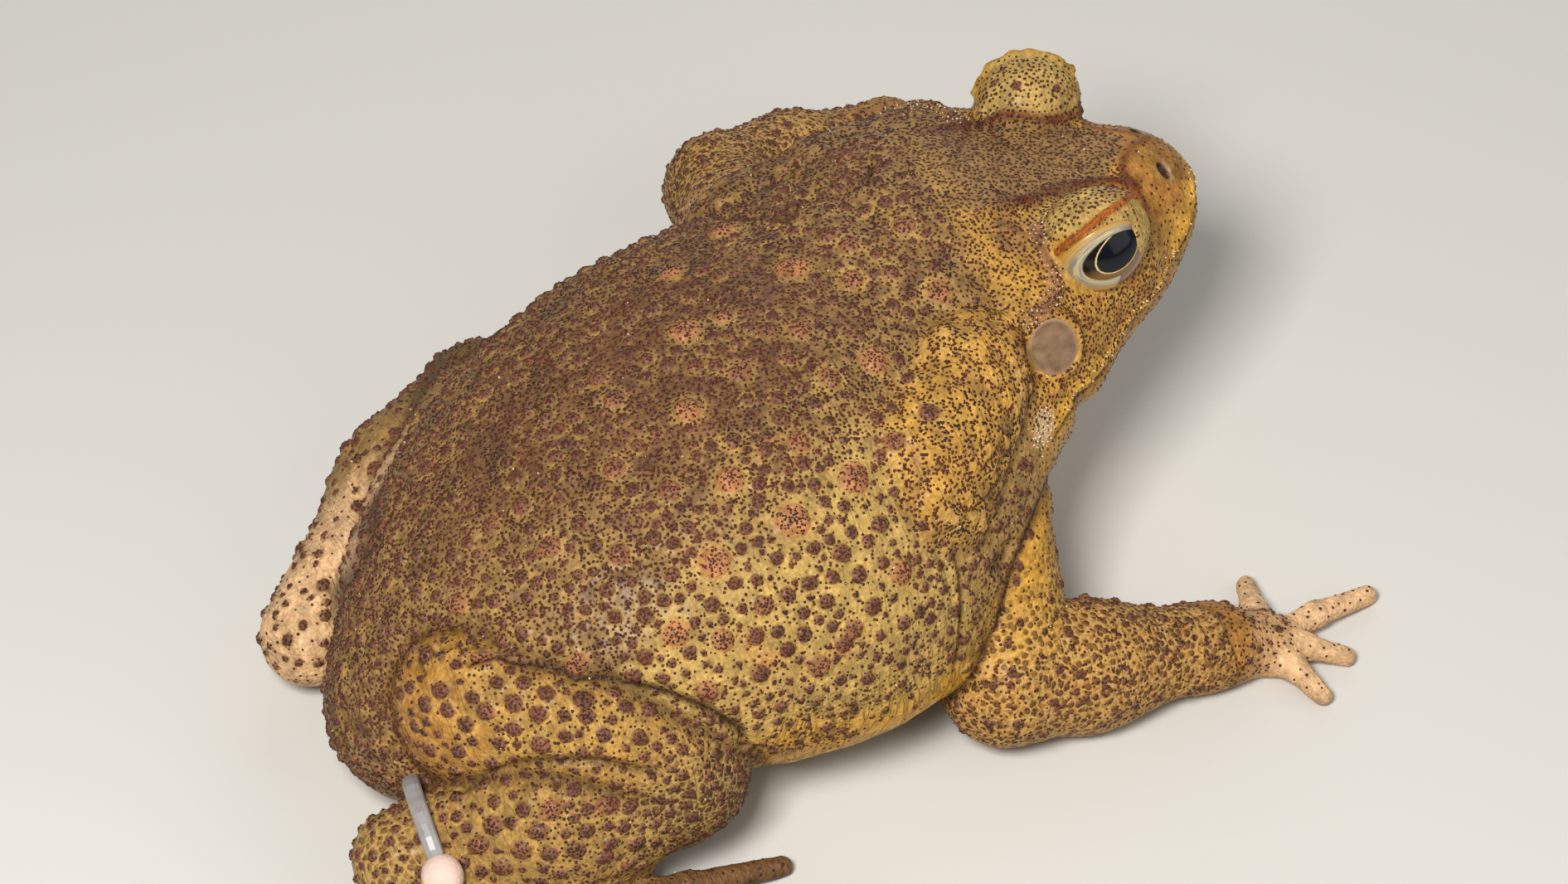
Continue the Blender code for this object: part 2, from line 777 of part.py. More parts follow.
def dress(item, material):
    """Sets the finished piece down in metres with its finish."""
    mesh = item.data
    set_points(mesh, points_of(mesh) * MM)
    mesh.materials.clear()
    mesh.materials.append(finish_of(material))
    mesh.shade_smooth()
    mesh.set_sharp_from_angle(angle=math.radians(50))


def under_thigh(points):
    """Where a thigh covers the trunk, or nearly does."""
    covered = np.zeros(len(points), bool)
    for side in LEGS:
        covered |= field_of(thigh_shapes(side), LIMB_BLEND)(points) < THIGH_CLEARANCE
    return covered


def make_trunk():
    shapes, head = trunk_shapes()
    distance = trunk_distance()
    trunk = grow_flesh("torso", shapes + head, distance, TRUNK_VOXEL)
    points = points_of(trunk.data)
    normals = slope_of(distance, points)
    local = (points - np.array(NAPE)) @ HEAD_AXES
    allowed = (points[:, 2] > WART_FLOOR) & (normals[:, 2] > -0.2) & (local[:, 0] < BARE_NAPE_X)
    allowed &= ~under_thigh(points)
    warts = wart_places("torso", points, allowed, TRUNK_WARTS, TRUNK_WART_RADII)
    raised = raise_warts(points, normals, warts)
    set_points(trunk.data, raise_ridges(raised, normals))
    thin_out(trunk, TRUNK_TRIANGLES)
    return trunk


def make_head(head):
    """Opens the nostrils, the mouth line, the eye openings and the seats of the ear drums."""
    cutters = nostril_cutters() + [lip_cutters(head)]
    made = []
    for side, name in ((1, "left"), (-1, "right")):
        eye, socket = make_eye(side, name)
        drum, seat = make_drum(side, name)
        cutters += [socket, seat]
        made += [(eye, "eye"), (drum, "drum")]
    combine(head, cutters)
    return made


def make_gland(side, trunk_room):
    lobes = [Blob(centre, radii) for centre, radii in PAROTOIDS[side]]
    gland = grow_flesh("parotoid_" + side, lobes, field_of(lobes, PAROTOID_BLEND), TRUNK_VOXEL)
    thin_out(gland, GLAND_TRIANGLES)
    cut_clear(gland, [trunk_room])
    return gland


def main():
    clear_scene()
    floor = half_space((0, 0, 0), (0, 0, -1))
    trunk = make_trunk()
    combine(trunk, [floor])
    trunk_room = swollen(trunk, GAP)
    nape = np.array(NAPE)
    torso, head = split(trunk, (NECK_CUT_X, nape[1], nape[2]), HEAD_AXES[:, 0], ("torso", "head"))
    done = [(torso, "skin_back"), (head, "skin_head")] + make_head(head)
    for side in ("right", "left"):
        gland = make_gland(side, trunk_room)
        done.append((gland, "gland"))
        room = as_cutter(swollen(gland, GAP))
        done += [(item, "skin_arm") for item in make_arm(side, [trunk_room, room], floor)]
        leg, rooms = make_leg(side, trunk_room, floor)
        done += [(item, "skin_leg") for item in leg]
        if side == "right":
            tag_tube, bead = make_tag(rooms)
            done += [(tag_tube, "tag_tube"), (bead, "tag_bead")]
    for item, material in done:
        dress(item, material)
    discard([item for item in bpy.data.objects if item.hide_render])


main()
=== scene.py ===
import math
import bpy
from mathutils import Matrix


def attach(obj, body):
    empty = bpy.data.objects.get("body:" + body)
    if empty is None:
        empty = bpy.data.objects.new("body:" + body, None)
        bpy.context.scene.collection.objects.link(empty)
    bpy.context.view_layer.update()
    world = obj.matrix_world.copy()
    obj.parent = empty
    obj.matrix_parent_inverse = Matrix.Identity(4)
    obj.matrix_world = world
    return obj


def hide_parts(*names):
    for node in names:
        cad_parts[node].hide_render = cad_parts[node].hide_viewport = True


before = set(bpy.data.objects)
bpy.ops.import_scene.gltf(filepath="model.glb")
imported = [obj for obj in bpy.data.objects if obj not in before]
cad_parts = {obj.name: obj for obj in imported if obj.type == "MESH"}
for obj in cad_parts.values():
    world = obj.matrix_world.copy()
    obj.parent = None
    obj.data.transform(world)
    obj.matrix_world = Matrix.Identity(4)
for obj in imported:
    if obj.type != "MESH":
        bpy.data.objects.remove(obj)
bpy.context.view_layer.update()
from types import SimpleNamespace

import bmesh
import bpy
import numpy as np
from mathutils import Euler, Matrix, Vector, noise
from mathutils.bvhtree import BVHTree

# A cane toad crouched on its belly. +X runs to the snout, +Y is its left, z = 0 is the floor.
# Shapes are worked out in millimetres and set down in metres.

mm = 0.001


def linear(hexColour):
    # sRGB hex to the linear values that shaders take
    made = []
    for start in (1, 3, 5):
        value = int(hexColour[start:start + 2], 16) / 255
        made.append(value / 12.92 if value <= 0.04045 else ((value + 0.055) / 1.055) ** 2.4)
    return made


def colourOf(hexColour):
    # the same with full alpha, as a colour socket takes it
    return (*linear(hexColour), 1)


def addNode(tree, kind, settings=None, inputs=None):
    # a shader node with its settings, and its inputs set or linked
    node = tree.nodes.new("ShaderNode" + kind)
    for key, value in (settings or {}).items():
        setattr(node, key, value)
    for key, value in (inputs or {}).items():
        if isinstance(value, bpy.types.NodeSocket):
            tree.links.new(value, node.inputs[key])
        else:
            node.inputs[key].default_value = value
    return node


def newMaterial(name):
    material = bpy.data.materials.new(name)
    material.use_nodes = True
    tree = material.node_tree
    tree.nodes.clear()
    return material, tree


def cloudedMaterial(name, spacing, detail, tones, finish, contrast=None):
    # two tones mixed by soft clouds, spacing in mm, and the shader's own values
    material, tree = newMaterial(name)
    place = addNode(tree, "TexCoord").outputs["Object"]
    clouds = addNode(tree, "TexNoise", inputs={
        "Vector": place, "Scale": 1000 / spacing, "Detail": detail})
    share = clouds.outputs["Fac"]
    if contrast:
        sharper = addNode(tree, "MapRange", inputs={
            "Value": share, "From Min": contrast[0], "From Max": contrast[1]})
        share = sharper.outputs["Result"]
    colour = addNode(tree, "Mix", {"data_type": "RGBA"}, {
        0: share, 6: colourOf(tones[0]), 7: colourOf(tones[1])})
    shader = addNode(tree, "BsdfPrincipled", inputs={"Base Color": colour.outputs[2], **finish})
    addNode(tree, "OutputMaterial", inputs={"Surface": shader.outputs[0]})
    return material


# Camera: it looks down at 45 degrees from behind the toad's right side
camera = {
    "heading": 31.8,
    "lookDown": 45.0,
    "target": (26.49, 8.63, 20.0),
    "distance": 600.0,
    "pixelsPerMm": 9.29,
    "frameWidth": 1891,
    "frameHeight": 1066,
    "sensor": 36.0,
}


def cameraAxes():
    heading = math.radians(camera["heading"])
    down = math.radians(camera["lookDown"])
    right = np.array((math.cos(heading), -math.sin(heading), 0.0))
    level = np.array((math.sin(heading), math.cos(heading), 0.0))
    ahead = level * math.cos(down) - np.array((0.0, 0.0, math.sin(down)))
    return right, np.cross(right, ahead), ahead


def photoRay(px, py):
    # where the camera stands, and the way to a pixel of the photograph
    right, up, ahead = cameraAxes()
    eye = np.array(camera["target"]) - ahead * camera["distance"]
    across = (px - camera["frameWidth"] / 2) / camera["pixelsPerMm"]
    above = (camera["frameHeight"] / 2 - py) / camera["pixelsPerMm"]
    way = ahead * camera["distance"] + right * across + up * above
    return eye, way / np.linalg.norm(way)


def makeCamera():
    right, up, ahead = cameraAxes()
    made = bpy.data.objects.new("camera", bpy.data.cameras.new("camera"))
    made.location = Vector((np.array(camera["target"]) - ahead * camera["distance"]) * mm)
    made.rotation_euler = Matrix(np.array((right, up, -ahead)).T).to_euler()
    halfWidth = camera["frameWidth"] / 2 / camera["pixelsPerMm"]
    made.data.sensor_width = camera["sensor"]
    made.data.lens = camera["sensor"] / 2 * camera["distance"] / halfWidth
    made.data.clip_start = 0.05
    made.data.clip_end = 20.0
    bpy.context.scene.collection.objects.link(made)
    bpy.context.scene.camera = made


# Trunk: ovals with centre, radii and nose-up pitch
trunkSizes = {
    "blend": 9.0,
    "ovals": (
        ((-21.5, -3, 17), (19, 25, 15), 8),
        ((-8, -1, 22), (27, 32, 21), 10),
        ((11, 1, 26), (34, 37, 24.5), 13),
        ((18, -10, 19), (25, 26, 17), 0),
        ((32, 4.5, 29.5), (27, 31, 20.5), 14),
        ((46, 10, 33), (20, 24, 17), 8),
        ((-2, 0, 12), (30, 26, 13.5), 4),
        ((-36, -1, 12), (8, 9, 8), 0),
    ),
}

# Head: its own frame starts at the nape, x runs to the snout and z up; pairs are mirrored
headSizes = {
    "nape": (44.7, 11.5, 42.0),
    "turn": (-1.0, -1.0, -10.0),
    "blend": 4.0,
    "ovals": (
        ((8, 0, -2), (23, 20, 12)),
        ((7, 0, -9), (26, 23, 10)),
        ((24, 0, -3.5), (16, 14, 10)),
        ((32, 0, -1.5), (9.6, 10, 8.2)),
        ((20, 0, -9), (18.5, 15, 7.5)),
        ((0, 0, -13), (18, 17, 10)),
        ((12, 0, -14), (17, 11.5, 10)),
    ),
    "pairs": (
        ((22, 10.5, -1), (10, 8.2, 8.5)),
        ((11, 17.5, -4), (11, 6.5, 9)),
    ),
    "lid": ((22.0, 13.8, 7.0), (7.1, 6.0, 6.2)),
    "lidJoin": 1.6,
    "leftEyeShift": (2.9, 0.0, -0.3),
    "snoutLine": 33.7,
    "knob": (30.6, 8.1, 6),
    "jawGland": (7, 31, -6),
    "behindEye": (12, 11.5, 9.2),
}

# Parotoid glands: lobes from behind the ear drum back over the shoulder
glandSizes = {
    "blend": 4.0,
    "join": 1.8,
    "right": (
        ((39, -12.5, 43), (9.5, 8, 7.5)),
        ((31, -17.5, 40), (12.5, 9, 8.5)),
        ((26, -22.5, 34.5), (11, 8.5, 10)),
    ),
    "left": (
        ((55, 24.5, 42.5), (8, 7, 7)), ((45, 27, 41), (9, 7.5, 7.5)), ((34, 28.5, 38.5), (9.5, 7.5, 7.5)),
    ),
}

# Limbs: joints with the flesh radius at each, and where finger and toe tips rest
limbSizes = {
    "blend": 4.0,
    "shoulderJoin": 3.0,
    "elbowJoin": 2.0,
    "legJoin": 0.8,
    "ankleJoin": 2.5,
    "digitBlend": 1.2,
    "armSwell": 1.1,
    "calfSwell": 1.25,
    "calfShare": 0.4,
    "tipHeight": 1.1,
    "knuckleLift": 0.9,
    "palmReach": 8.0,
    "palmRadius": 4.2,
    "palmSink": 0.55,
    "fingerRadii": (2.0, 1.3),
    "tarsusRadius": 4.4,
    "toeRadii": (2.2, 1.3),
    "webShare": 0.45,
    "webThickness": 1.2,
}
arms = {
    "right": {
        "shoulder": ((39, -15, 25), 10.5),
        "elbow": ((34, -33, 9), 8.3),
        "wrist": ((61, -39, 5), 5.2),
        "tips": ((74, -30), (86.5, -39.8), (77.6, -47.1), (71, -51)),
    },
    "left": {
        "shoulder": ((38, 30, 24), 10.0),
        "elbow": ((48, 59, 15), 8.0),
        "wrist": ((78, 64, 7), 5.4),
        "tips": ((84, 51), (95, 51), (95, 61), (87, 71)),
    },
}
legs = {
    "right": {
        "hip": ((-27, -10, 20), 13.5),
        "knee": ((-13, -27, 15), 11.0),
        "heel": ((-45, -18.5, 8.5), 6.2),
        "muscle": ((-21, -19, 21), (18, 12, 12.5), -48),
        "tarsus": (-29, -35, 4.2),
        "tips": ((-17, -36), (-10, -38), (-3, -38.5), (7, -51), (-6, -55)),
    },
    "left": {
        "hip": ((-23, 11, 19), 13.0),
        "knee": ((-1, 39, 14.5), 10.0),
        "heel": ((-37, 21, 8), 6.5),
        "muscle": ((-12, 23, 17.5), (16, 10, 10.5), 45),
        "tarsus": (-24, 37, 4.0),
        "tips": ((-15, 42), (-6, 46), (4, 50), (12, 54), (-6, 54)),
    },
}


def turnOf(degrees):
    return np.array(Euler([math.radians(d) for d in degrees], "XYZ").to_matrix())


def roundedMin(a, b, blend):
    share = np.maximum(blend - np.abs(a - b), 0) / blend
    return np.minimum(a, b) - share * share * blend / 4


class Oval:
    def __init__(self, centre, radii, turn=None):
        self.centre = np.array(centre, float)
        self.radii = np.array(radii, float)
        self.turn = np.eye(3) if turn is None else turn
        self.reach = (self.centre - max(radii), self.centre + max(radii))

    def distance(self, points):
        local = (points - self.centre) @ self.turn
        k0 = np.linalg.norm(local / self.radii, axis=1)
        k1 = np.linalg.norm(local / self.radii**2, axis=1)
        return k0 * (k0 - 1) / np.maximum(k1, 1e-6)

    def addTo(self, shape, shrink):
        made = bmesh.ops.create_icosphere(shape, subdivisions=3, radius=1.0)
        radii = np.maximum(self.radii - shrink, self.radii * 0.5)
        for vert in made["verts"]:
            vert.co = Vector(self.turn @ (np.array(vert.co) * radii) + self.centre)


class Bone:
    def __init__(self, start, end, startRadius, endRadius):
        self.start = np.array(start, float)
        self.end = np.array(end, float)
        self.radii = (startRadius, endRadius)
        most = max(self.radii)
        self.reach = (np.minimum(self.start, self.end) - most, np.maximum(self.start, self.end) + most)

    def distance(self, points):
        along = self.end - self.start
        share = np.clip((points - self.start) @ along / (along @ along), 0, 1)
        away = np.linalg.norm(points - (self.start + share[:, None] * along), axis=1)
        return away - self.radii[0] - (self.radii[1] - self.radii[0]) * share

    def addTo(self, shape, shrink):
        length = float(np.linalg.norm(self.end - self.start))
        steps = max(2, math.ceil(length / (0.5 * min(self.radii))))
        for step in range(steps + 1):
            share = step / steps
            radius = self.radii[0] + (self.radii[1] - self.radii[0]) * share - shrink
            made = bmesh.ops.create_icosphere(shape, subdivisions=2, radius=radius)
            place = Vector(self.start + (self.end - self.start) * share)
            bmesh.ops.translate(shape, verts=made["verts"], vec=place)


class Flesh:
    # shapes melted together, worked out only near their own box
    margin = 12.0
    far = 99.0

    def __init__(self, shapes, blend):
        self.shapes = shapes
        self.blend = blend
        self.low = np.min([shape.reach[0] for shape in shapes], axis=0) - self.margin
        self.high = np.max([shape.reach[1] for shape in shapes], axis=0) + self.margin

    def distance(self, points):
        made = np.full(len(points), self.far)
        near = np.all((points > self.low) & (points < self.high), axis=1)
        if near.any():
            inside = points[near]
            total = self.shapes[0].distance(inside)
            for shape in self.shapes[1:]:
                total = roundedMin(total, shape.distance(inside), self.blend)
            made[near] = total
        return made


nape = np.array(headSizes["nape"])
headAxes = turnOf(headSizes["turn"])


def inHead(point):
    return headAxes @ np.array(point, float) + nape


def headPlace(points):
    return (points - nape) @ headAxes


def sided(point, side):
    return (point[0], point[1] * side, point[2])


def besideEye(point, side):
    # the same for what moves with the eyes: the left one is held a little further forward
    shift = headSizes["leftEyeShift"] if side > 0 else (0, 0, 0)
    return tuple(np.array(sided(point, side)) + shift)


def mirroredGap(local, spot, lean=0.0):
    # distance to a spot of the head, taken on whichever side each point is
    there = local * 0 + spot
    there[:, 1] = lean + np.sign(local[:, 1]) * spot[1]
    return np.linalg.norm(local - there, axis=1)


def swellingBone(start, end, swell):
    (a, ra), (b, rb) = start, end
    share = limbSizes["calfShare"]
    middle = np.array(a) * (1 - share) + np.array(b) * share
    thick = (ra * (1 - share) + rb * share) * swell
    return [Bone(a, middle, ra, thick), Bone(middle, b, thick, rb)]


def digitShapes(root, tip, radii):
    root = np.array(root, float)
    tip = np.array(tip, float)
    knuckle = (root + tip) / 2 + np.array((0, 0, limbSizes["knuckleLift"]))
    middle = (radii[0] + radii[1]) / 2
    return [Bone(root, knuckle, radii[0], middle), Bone(knuckle, tip, middle, radii[1])]


def armFlesh(side):
    arm = arms[side]
    wrist, wristRadius = arm["wrist"]
    tips = [np.array((x, y, limbSizes["tipHeight"])) for x, y in arm["tips"]]
    way = np.mean(tips, axis=0) - np.array(wrist)
    palm = np.array(wrist) + way / np.linalg.norm(way) * limbSizes["palmReach"]
    palm[2] = limbSizes["palmRadius"] * limbSizes["palmSink"]
    lower = swellingBone(arm["elbow"], arm["wrist"], limbSizes["armSwell"])
    lower.append(Bone(wrist, palm, wristRadius * 0.9, limbSizes["palmRadius"]))
    digits = []
    for tip in tips:
        digits += digitShapes(palm, tip, limbSizes["fingerRadii"])
    (shoulder, shoulderRadius), (elbow, elbowRadius) = arm["shoulder"], arm["elbow"]
    upper = [Bone(shoulder, elbow, shoulderRadius, elbowRadius)]
    return Flesh(upper, 1.0), Flesh(lower, limbSizes["blend"]), Flesh(digits, limbSizes["digitBlend"])


def legFlesh(side):
    leg = legs[side]
    (hip, hipRadius), (knee, kneeRadius), (heel, heelRadius) = leg["hip"], leg["knee"], leg["heel"]
    centre, radii, turn = leg["muscle"]
    thigh = [Bone(hip, knee, hipRadius, kneeRadius), Oval(centre, radii, turnOf((0, 0, turn)))]
    shank = swellingBone(leg["knee"], leg["heel"], limbSizes["calfSwell"])
    end = np.array(leg["tarsus"], float)
    tips = [np.array((x, y, limbSizes["tipHeight"])) for x, y in leg["tips"]]
    digits = []
    for tip in tips:
        digits += digitShapes(end, tip, limbSizes["toeRadii"])
    for first, second in zip(tips[:-1], tips[1:]):
        middle = end + ((first + second) / 2 - end) * limbSizes["webShare"]
        digits.append(Bone(end, middle, limbSizes["webThickness"] * 1.6, limbSizes["webThickness"]))
    tarsus = [Bone(heel, end, heelRadius * 0.85, limbSizes["tarsusRadius"])]
    made = [Flesh(shapes, limbSizes["blend"]) for shapes in (thigh, shank, tarsus)]
    return (*made, Flesh(digits, limbSizes["digitBlend"]))


# Eyes: the ball in the head's frame, which way it looks, and the opening in front of it, which is
# an oval shifted back and cut off at the front, where a fold of skin meets the pupil
eyeSizes = {
    "centre": (21.9, 14.0, 6.2),
    "radius": 6.3,
    "looksForward": 6.0,
    "looksUp": 25.0,
    "roll": 17.0,
    "opening": (5.7, 4.05, 9.0),
    "openingShift": (-1.3, -0.4),
    "openingDepth": 9.3,
    "openingBlend": 0.6,
    "frontFold": 2.75,
    "frontFoldTurn": -39.0,
    "pupil": (3.45, 2.35),
    "pupilShift": (0.15, -0.2),
    "pupilTurn": 12.0,
    "bareRim": (7.4, 5.6),
    "segments": (64, 40),
}


def eyeAxes(side):
    # columns: along the opening towards the snout, up, and out of the head
    forward = math.radians(eyeSizes["looksForward"])
    up = math.radians(eyeSizes["looksUp"])
    roll = math.radians(eyeSizes["roll"])
    out = Vector((math.sin(forward) * math.cos(up), math.cos(forward) * math.cos(up) * side, math.sin(up)))
    along = Vector((1, 0, 0)) - out * out.x
    along.normalize()
    above = out.cross(along) * side * -1
    if above.z < 0:
        above = -above
    turnedAlong = along * math.cos(roll) + above * math.sin(roll)
    turnedAbove = above * math.cos(roll) - along * math.sin(roll)
    return headAxes @ np.array((turnedAlong, turnedAbove, out)).T


def eyeCentre(side):
    return inHead(besideEye(eyeSizes["centre"], side))


def overEye(points, side):
    # whether points lie over the opening or the bare rim round it
    seen = (points - eyeCentre(side)) @ eyeAxes(side)
    long, tall = eyeSizes["bareRim"]
    return (np.hypot(seen[:, 0] / long, seen[:, 1] / tall) < 1) & (seen[:, 2] > 0)


def makeFlesh():
    flesh = {}
    trunk = [Oval(centre, radii, turnOf((0, -pitch, 0))) for centre, radii, pitch in trunkSizes["ovals"]]
    flesh["body"] = Flesh(trunk, trunkSizes["blend"])
    skull = [Oval(inHead(centre), radii, headAxes) for centre, radii in headSizes["ovals"]]
    for centre, radii in headSizes["pairs"]:
        for side in (1, -1):
            skull.append(Oval(inHead(sided(centre, side)), radii, headAxes))
    flesh["skull"] = Flesh(skull, headSizes["blend"])
    centre, radii = headSizes["lid"]
    flesh["lids"] = Flesh([Oval(inHead(besideEye(centre, side)), radii, headAxes) for side in (1, -1)], 0.1)
    for side in ("right", "left"):
        lobes = [Oval(centre, radii) for centre, radii in glandSizes[side]]
        flesh["gland " + side] = Flesh(lobes, glandSizes["blend"])
        flesh["upper arm " + side], flesh["forearm " + side], flesh["fingers " + side] = armFlesh(side)
        made = legFlesh(side)
        for name, part in zip(("thigh ", "shank ", "tarsus ", "toes "), made):
            flesh[name + side] = part
    return flesh


flesh = makeFlesh()


def partDistances(points):
    return {name: part.distance(points) for name, part in flesh.items()}


def skinDistance(points):
    # how far points lie outside the whole toad
    d = partDistances(points)
    total = roundedMin(d["body"], d["skull"], trunkSizes["blend"])
    total = roundedMin(total, d["lids"], headSizes["lidJoin"])
    for side, sign in (("right", -1), ("left", 1)):
        total = roundedMin(total, d["gland " + side], glandSizes["join"])
        arm = roundedMin(d["upper arm " + side], d["forearm " + side], limbSizes["elbowJoin"])
        arm = roundedMin(arm, d["fingers " + side], 2 * limbSizes["digitBlend"])
        total = roundedMin(total, arm, limbSizes["shoulderJoin"])
        foot = roundedMin(d["tarsus " + side], d["toes " + side], 2 * limbSizes["digitBlend"])
        shank = roundedMin(d["shank " + side], foot, limbSizes["ankleJoin"])
        leg = roundedMin(d["thigh " + side], shank, limbSizes["legJoin"])
        total = roundedMin(total, leg, limbSizes["legJoin"])
        axes = eyeAxes(sign)
        shiftAlong, shiftUp = eyeSizes["openingShift"]
        centre = eyeCentre(sign) + axes @ np.array((shiftAlong, shiftUp, eyeSizes["openingDepth"]))
        hole = Oval(centre, eyeSizes["opening"], axes).distance(points)
        turn = math.radians(eyeSizes["frontFoldTurn"])
        ahead = axes @ np.array((math.cos(turn), math.sin(turn), 0))
        beyond = (points - eyeCentre(sign)) @ ahead - eyeSizes["frontFold"]
        hole = -roundedMin(-hole, -beyond, 1.5)
        total = -roundedMin(-total, hole, eyeSizes["openingBlend"])
        total = -roundedMin(-total, nostrilAt(sign).distance(points), nostrilSizes["join"])
    return total


def slopeOf(distance, points):
    step = 0.04
    here = distance(points)
    slope = np.stack([distance(points + axis * step) - here for axis in np.eye(3)], axis=1)
    return here, slope / np.maximum(np.linalg.norm(slope, axis=1, keepdims=True), 1e-9)


def meshOf(shape, name):
    # the mesh of a finished bmesh, which is freed
    mesh = bpy.data.meshes.new(name)
    shape.to_mesh(mesh)
    shape.free()
    return mesh


def layOn(mesh, name, kind, values):
    # an attribute with one value for each point
    field = {"FLOAT_COLOR": "color", "FLOAT_VECTOR": "vector", "FLOAT": "value"}[kind]
    mesh.attributes.new(name, kind, "POINT").data.foreach_set(field, np.ravel(values))


def faceOutwards(shape, outward):
    bmesh.ops.recalc_face_normals(shape, faces=shape.faces)
    if sum(face.normal.dot(outward) for face in shape.faces) < 0:
        bmesh.ops.reverse_faces(shape, faces=shape.faces)


def spunShape(profile, sides, merge):
    # pairs of radius and height turned round the z axis, with doubles nearer than merge joined
    shape = bmesh.new()
    line = [shape.verts.new((r, 0, z)) for r, z in profile]
    edges = [shape.edges.new(pair) for pair in zip(line[:-1], line[1:])]
    bmesh.ops.spin(
        shape, geom=line + edges, cent=(0, 0, 0), axis=(0, 0, 1), angle=math.tau, steps=sides, use_merge=True)
    bmesh.ops.remove_doubles(shape, verts=shape.verts, dist=merge)
    return shape


def pointsOf(mesh):
    points = np.empty(len(mesh.vertices) * 3)
    mesh.vertices.foreach_get("co", points)
    return points.reshape(-1, 3)


def setPoints(mesh, points):
    mesh.vertices.foreach_set("co", np.ascontiguousarray(points, float).ravel())
    mesh.update()


def newObject(name, mesh):
    made = bpy.data.objects.new(name, mesh)
    bpy.context.scene.collection.objects.link(made)
    return made


def applyModifiers(item):
    graph = bpy.context.evaluated_depsgraph_get()
    graph.update()
    mesh = bpy.data.meshes.new_from_object(item.evaluated_get(graph))
    item.modifiers.clear()
    item.data = mesh
    return mesh


def cornersOf(mesh):
    mesh.calc_loop_triangles()
    corners = np.empty(len(mesh.loop_triangles) * 3, np.int32)
    mesh.loop_triangles.foreach_get("vertices", corners)
    return corners.reshape(-1, 3)


def treeOf(mesh):
    return BVHTree.FromPolygons(pointsOf(mesh).tolist(), cornersOf(mesh).tolist())


# The skin: its fineness, and the balls of space where it is made twice as fine, in the head's frame
skinSizes = {
    "firstVoxel": 0.95,
    "voxel": 0.5,
    "triangles": 194000,
    "unwrapShare": 0.08,
    "fineBalls": (((22, 16, 7), 9.0), ((37, 4.3, 4.5), 4.0), ((11.5, 22.5, 0.5), 5.5)),
}


def growSkin():
    start = bmesh.new()
    for part in flesh.values():
        for shape in part.shapes:
            shape.addTo(start, 0.3 * skinSizes["firstVoxel"])
    skin = newObject("toad_skin", meshOf(start, "toad_skin"))
    for voxel, settles in ((skinSizes["firstVoxel"], 5), (skinSizes["voxel"], 1)):
        remesh = skin.modifiers.new("remesh", "REMESH")
        remesh.mode = "VOXEL"
        remesh.voxel_size = voxel
        mesh = applyModifiers(skin)
        points = pointsOf(mesh)
        for _ in range(settles):
            here, slope = slopeOf(skinDistance, points)
            points = points - np.clip(here, -0.5 * voxel, 0.5 * voxel)[:, None] * slope
        setPoints(mesh, points)
    local = headPlace(points)
    fine = np.zeros(len(points), bool)
    for centre, radius in skinSizes["fineBalls"]:
        for side in (1, -1):
            fine |= np.linalg.norm(local - np.array(sided(centre, side)), axis=1) < radius
    shape = bmesh.new()
    shape.from_mesh(mesh)
    shape.verts.ensure_lookup_table()
    edges = [edge for edge in shape.edges if fine[edge.verts[0].index] and fine[edge.verts[1].index]]
    bmesh.ops.subdivide_edges(shape, edges=edges, cuts=1, use_grid_fill=True)
    shape.to_mesh(mesh)
    shape.free()
    points = pointsOf(mesh)
    for _ in range(2):
        here, slope = slopeOf(skinDistance, points)
        points = points - np.clip(here, -0.3, 0.3)[:, None] * slope
    setPoints(mesh, points)
    return skin, points, slope


# Lines on the head, in its own frame: half width and rise of each; a rise below nothing is a groove
headLines = {
    "crest": ((
        headSizes["knob"], (28, 6.9, 6.9), (24, 6.8, 8.2), (20.5, 7.4, 9.3), (16, 8.8, 10.3), (10, 9.6, 11),
    ), 0.8, 0.6),
    "rostral": ((headSizes["knob"], (30.4, 5.1, 6.9), (33, 2.2, 7), (36.5, 0.2, 6.2)), 0.55, 0.3),
    "preocular": ((headSizes["knob"], (31, 10.2, 4.6), (29.8, 13.2, 4.4), (28.6, 16, 3.6)), 0.45, 0.4),
    "postocular": ((
        (14.8, 12, 8.8), (14.4, 16.9, 6.9), (13.9, 19.8, 5.7), (11.8, 21.6, 5.2), (8.5, 23, 4.9),
    ), 0.8, 0.8),
    "brow": ((
        (28.2, 13.4, 10.6), (27.2, 13.7, 12), (25.3, 15.1, 12.7), (23.2, 16.1, 12.8), (21.1, 16.7, 12.3),
        (19.1, 17.1, 11.4), (17.4, 16.9, 10.2), (15.6, 16.4, 8.4),
    ), 0.45, 0.8),
    "lip": ((
        (41.8, 0, 0.5), (39.6, 4.7, 1.4), (37.8, 8, 0.2), (34.6, 11.8, -2), (30.7, 15, -3.4),
        (27, 18, -4.5), (22, 21.6, -5.2), (17.2, 24.6, -5.6), (12.9, 27, -6.2), (9.5, 28.6, -7.4),
    ), 1.0, 0.45),
    "mouth": ((
        (42, 0, -1.1), (39.8, 4.9, -0.3), (38, 8.2, -1.5), (34.8, 12, -3.7), (30.9, 15.2, -5.1),
        (27.2, 18.2, -6.2), (22.2, 21.8, -6.9), (17.4, 24.8, -7.3), (13, 27.2, -7.9), (9, 28.8, -9.4),
    ), 0.45, -0.9),
}
crownLean = 1.8  # how far the lines on the crown are shifted to the left

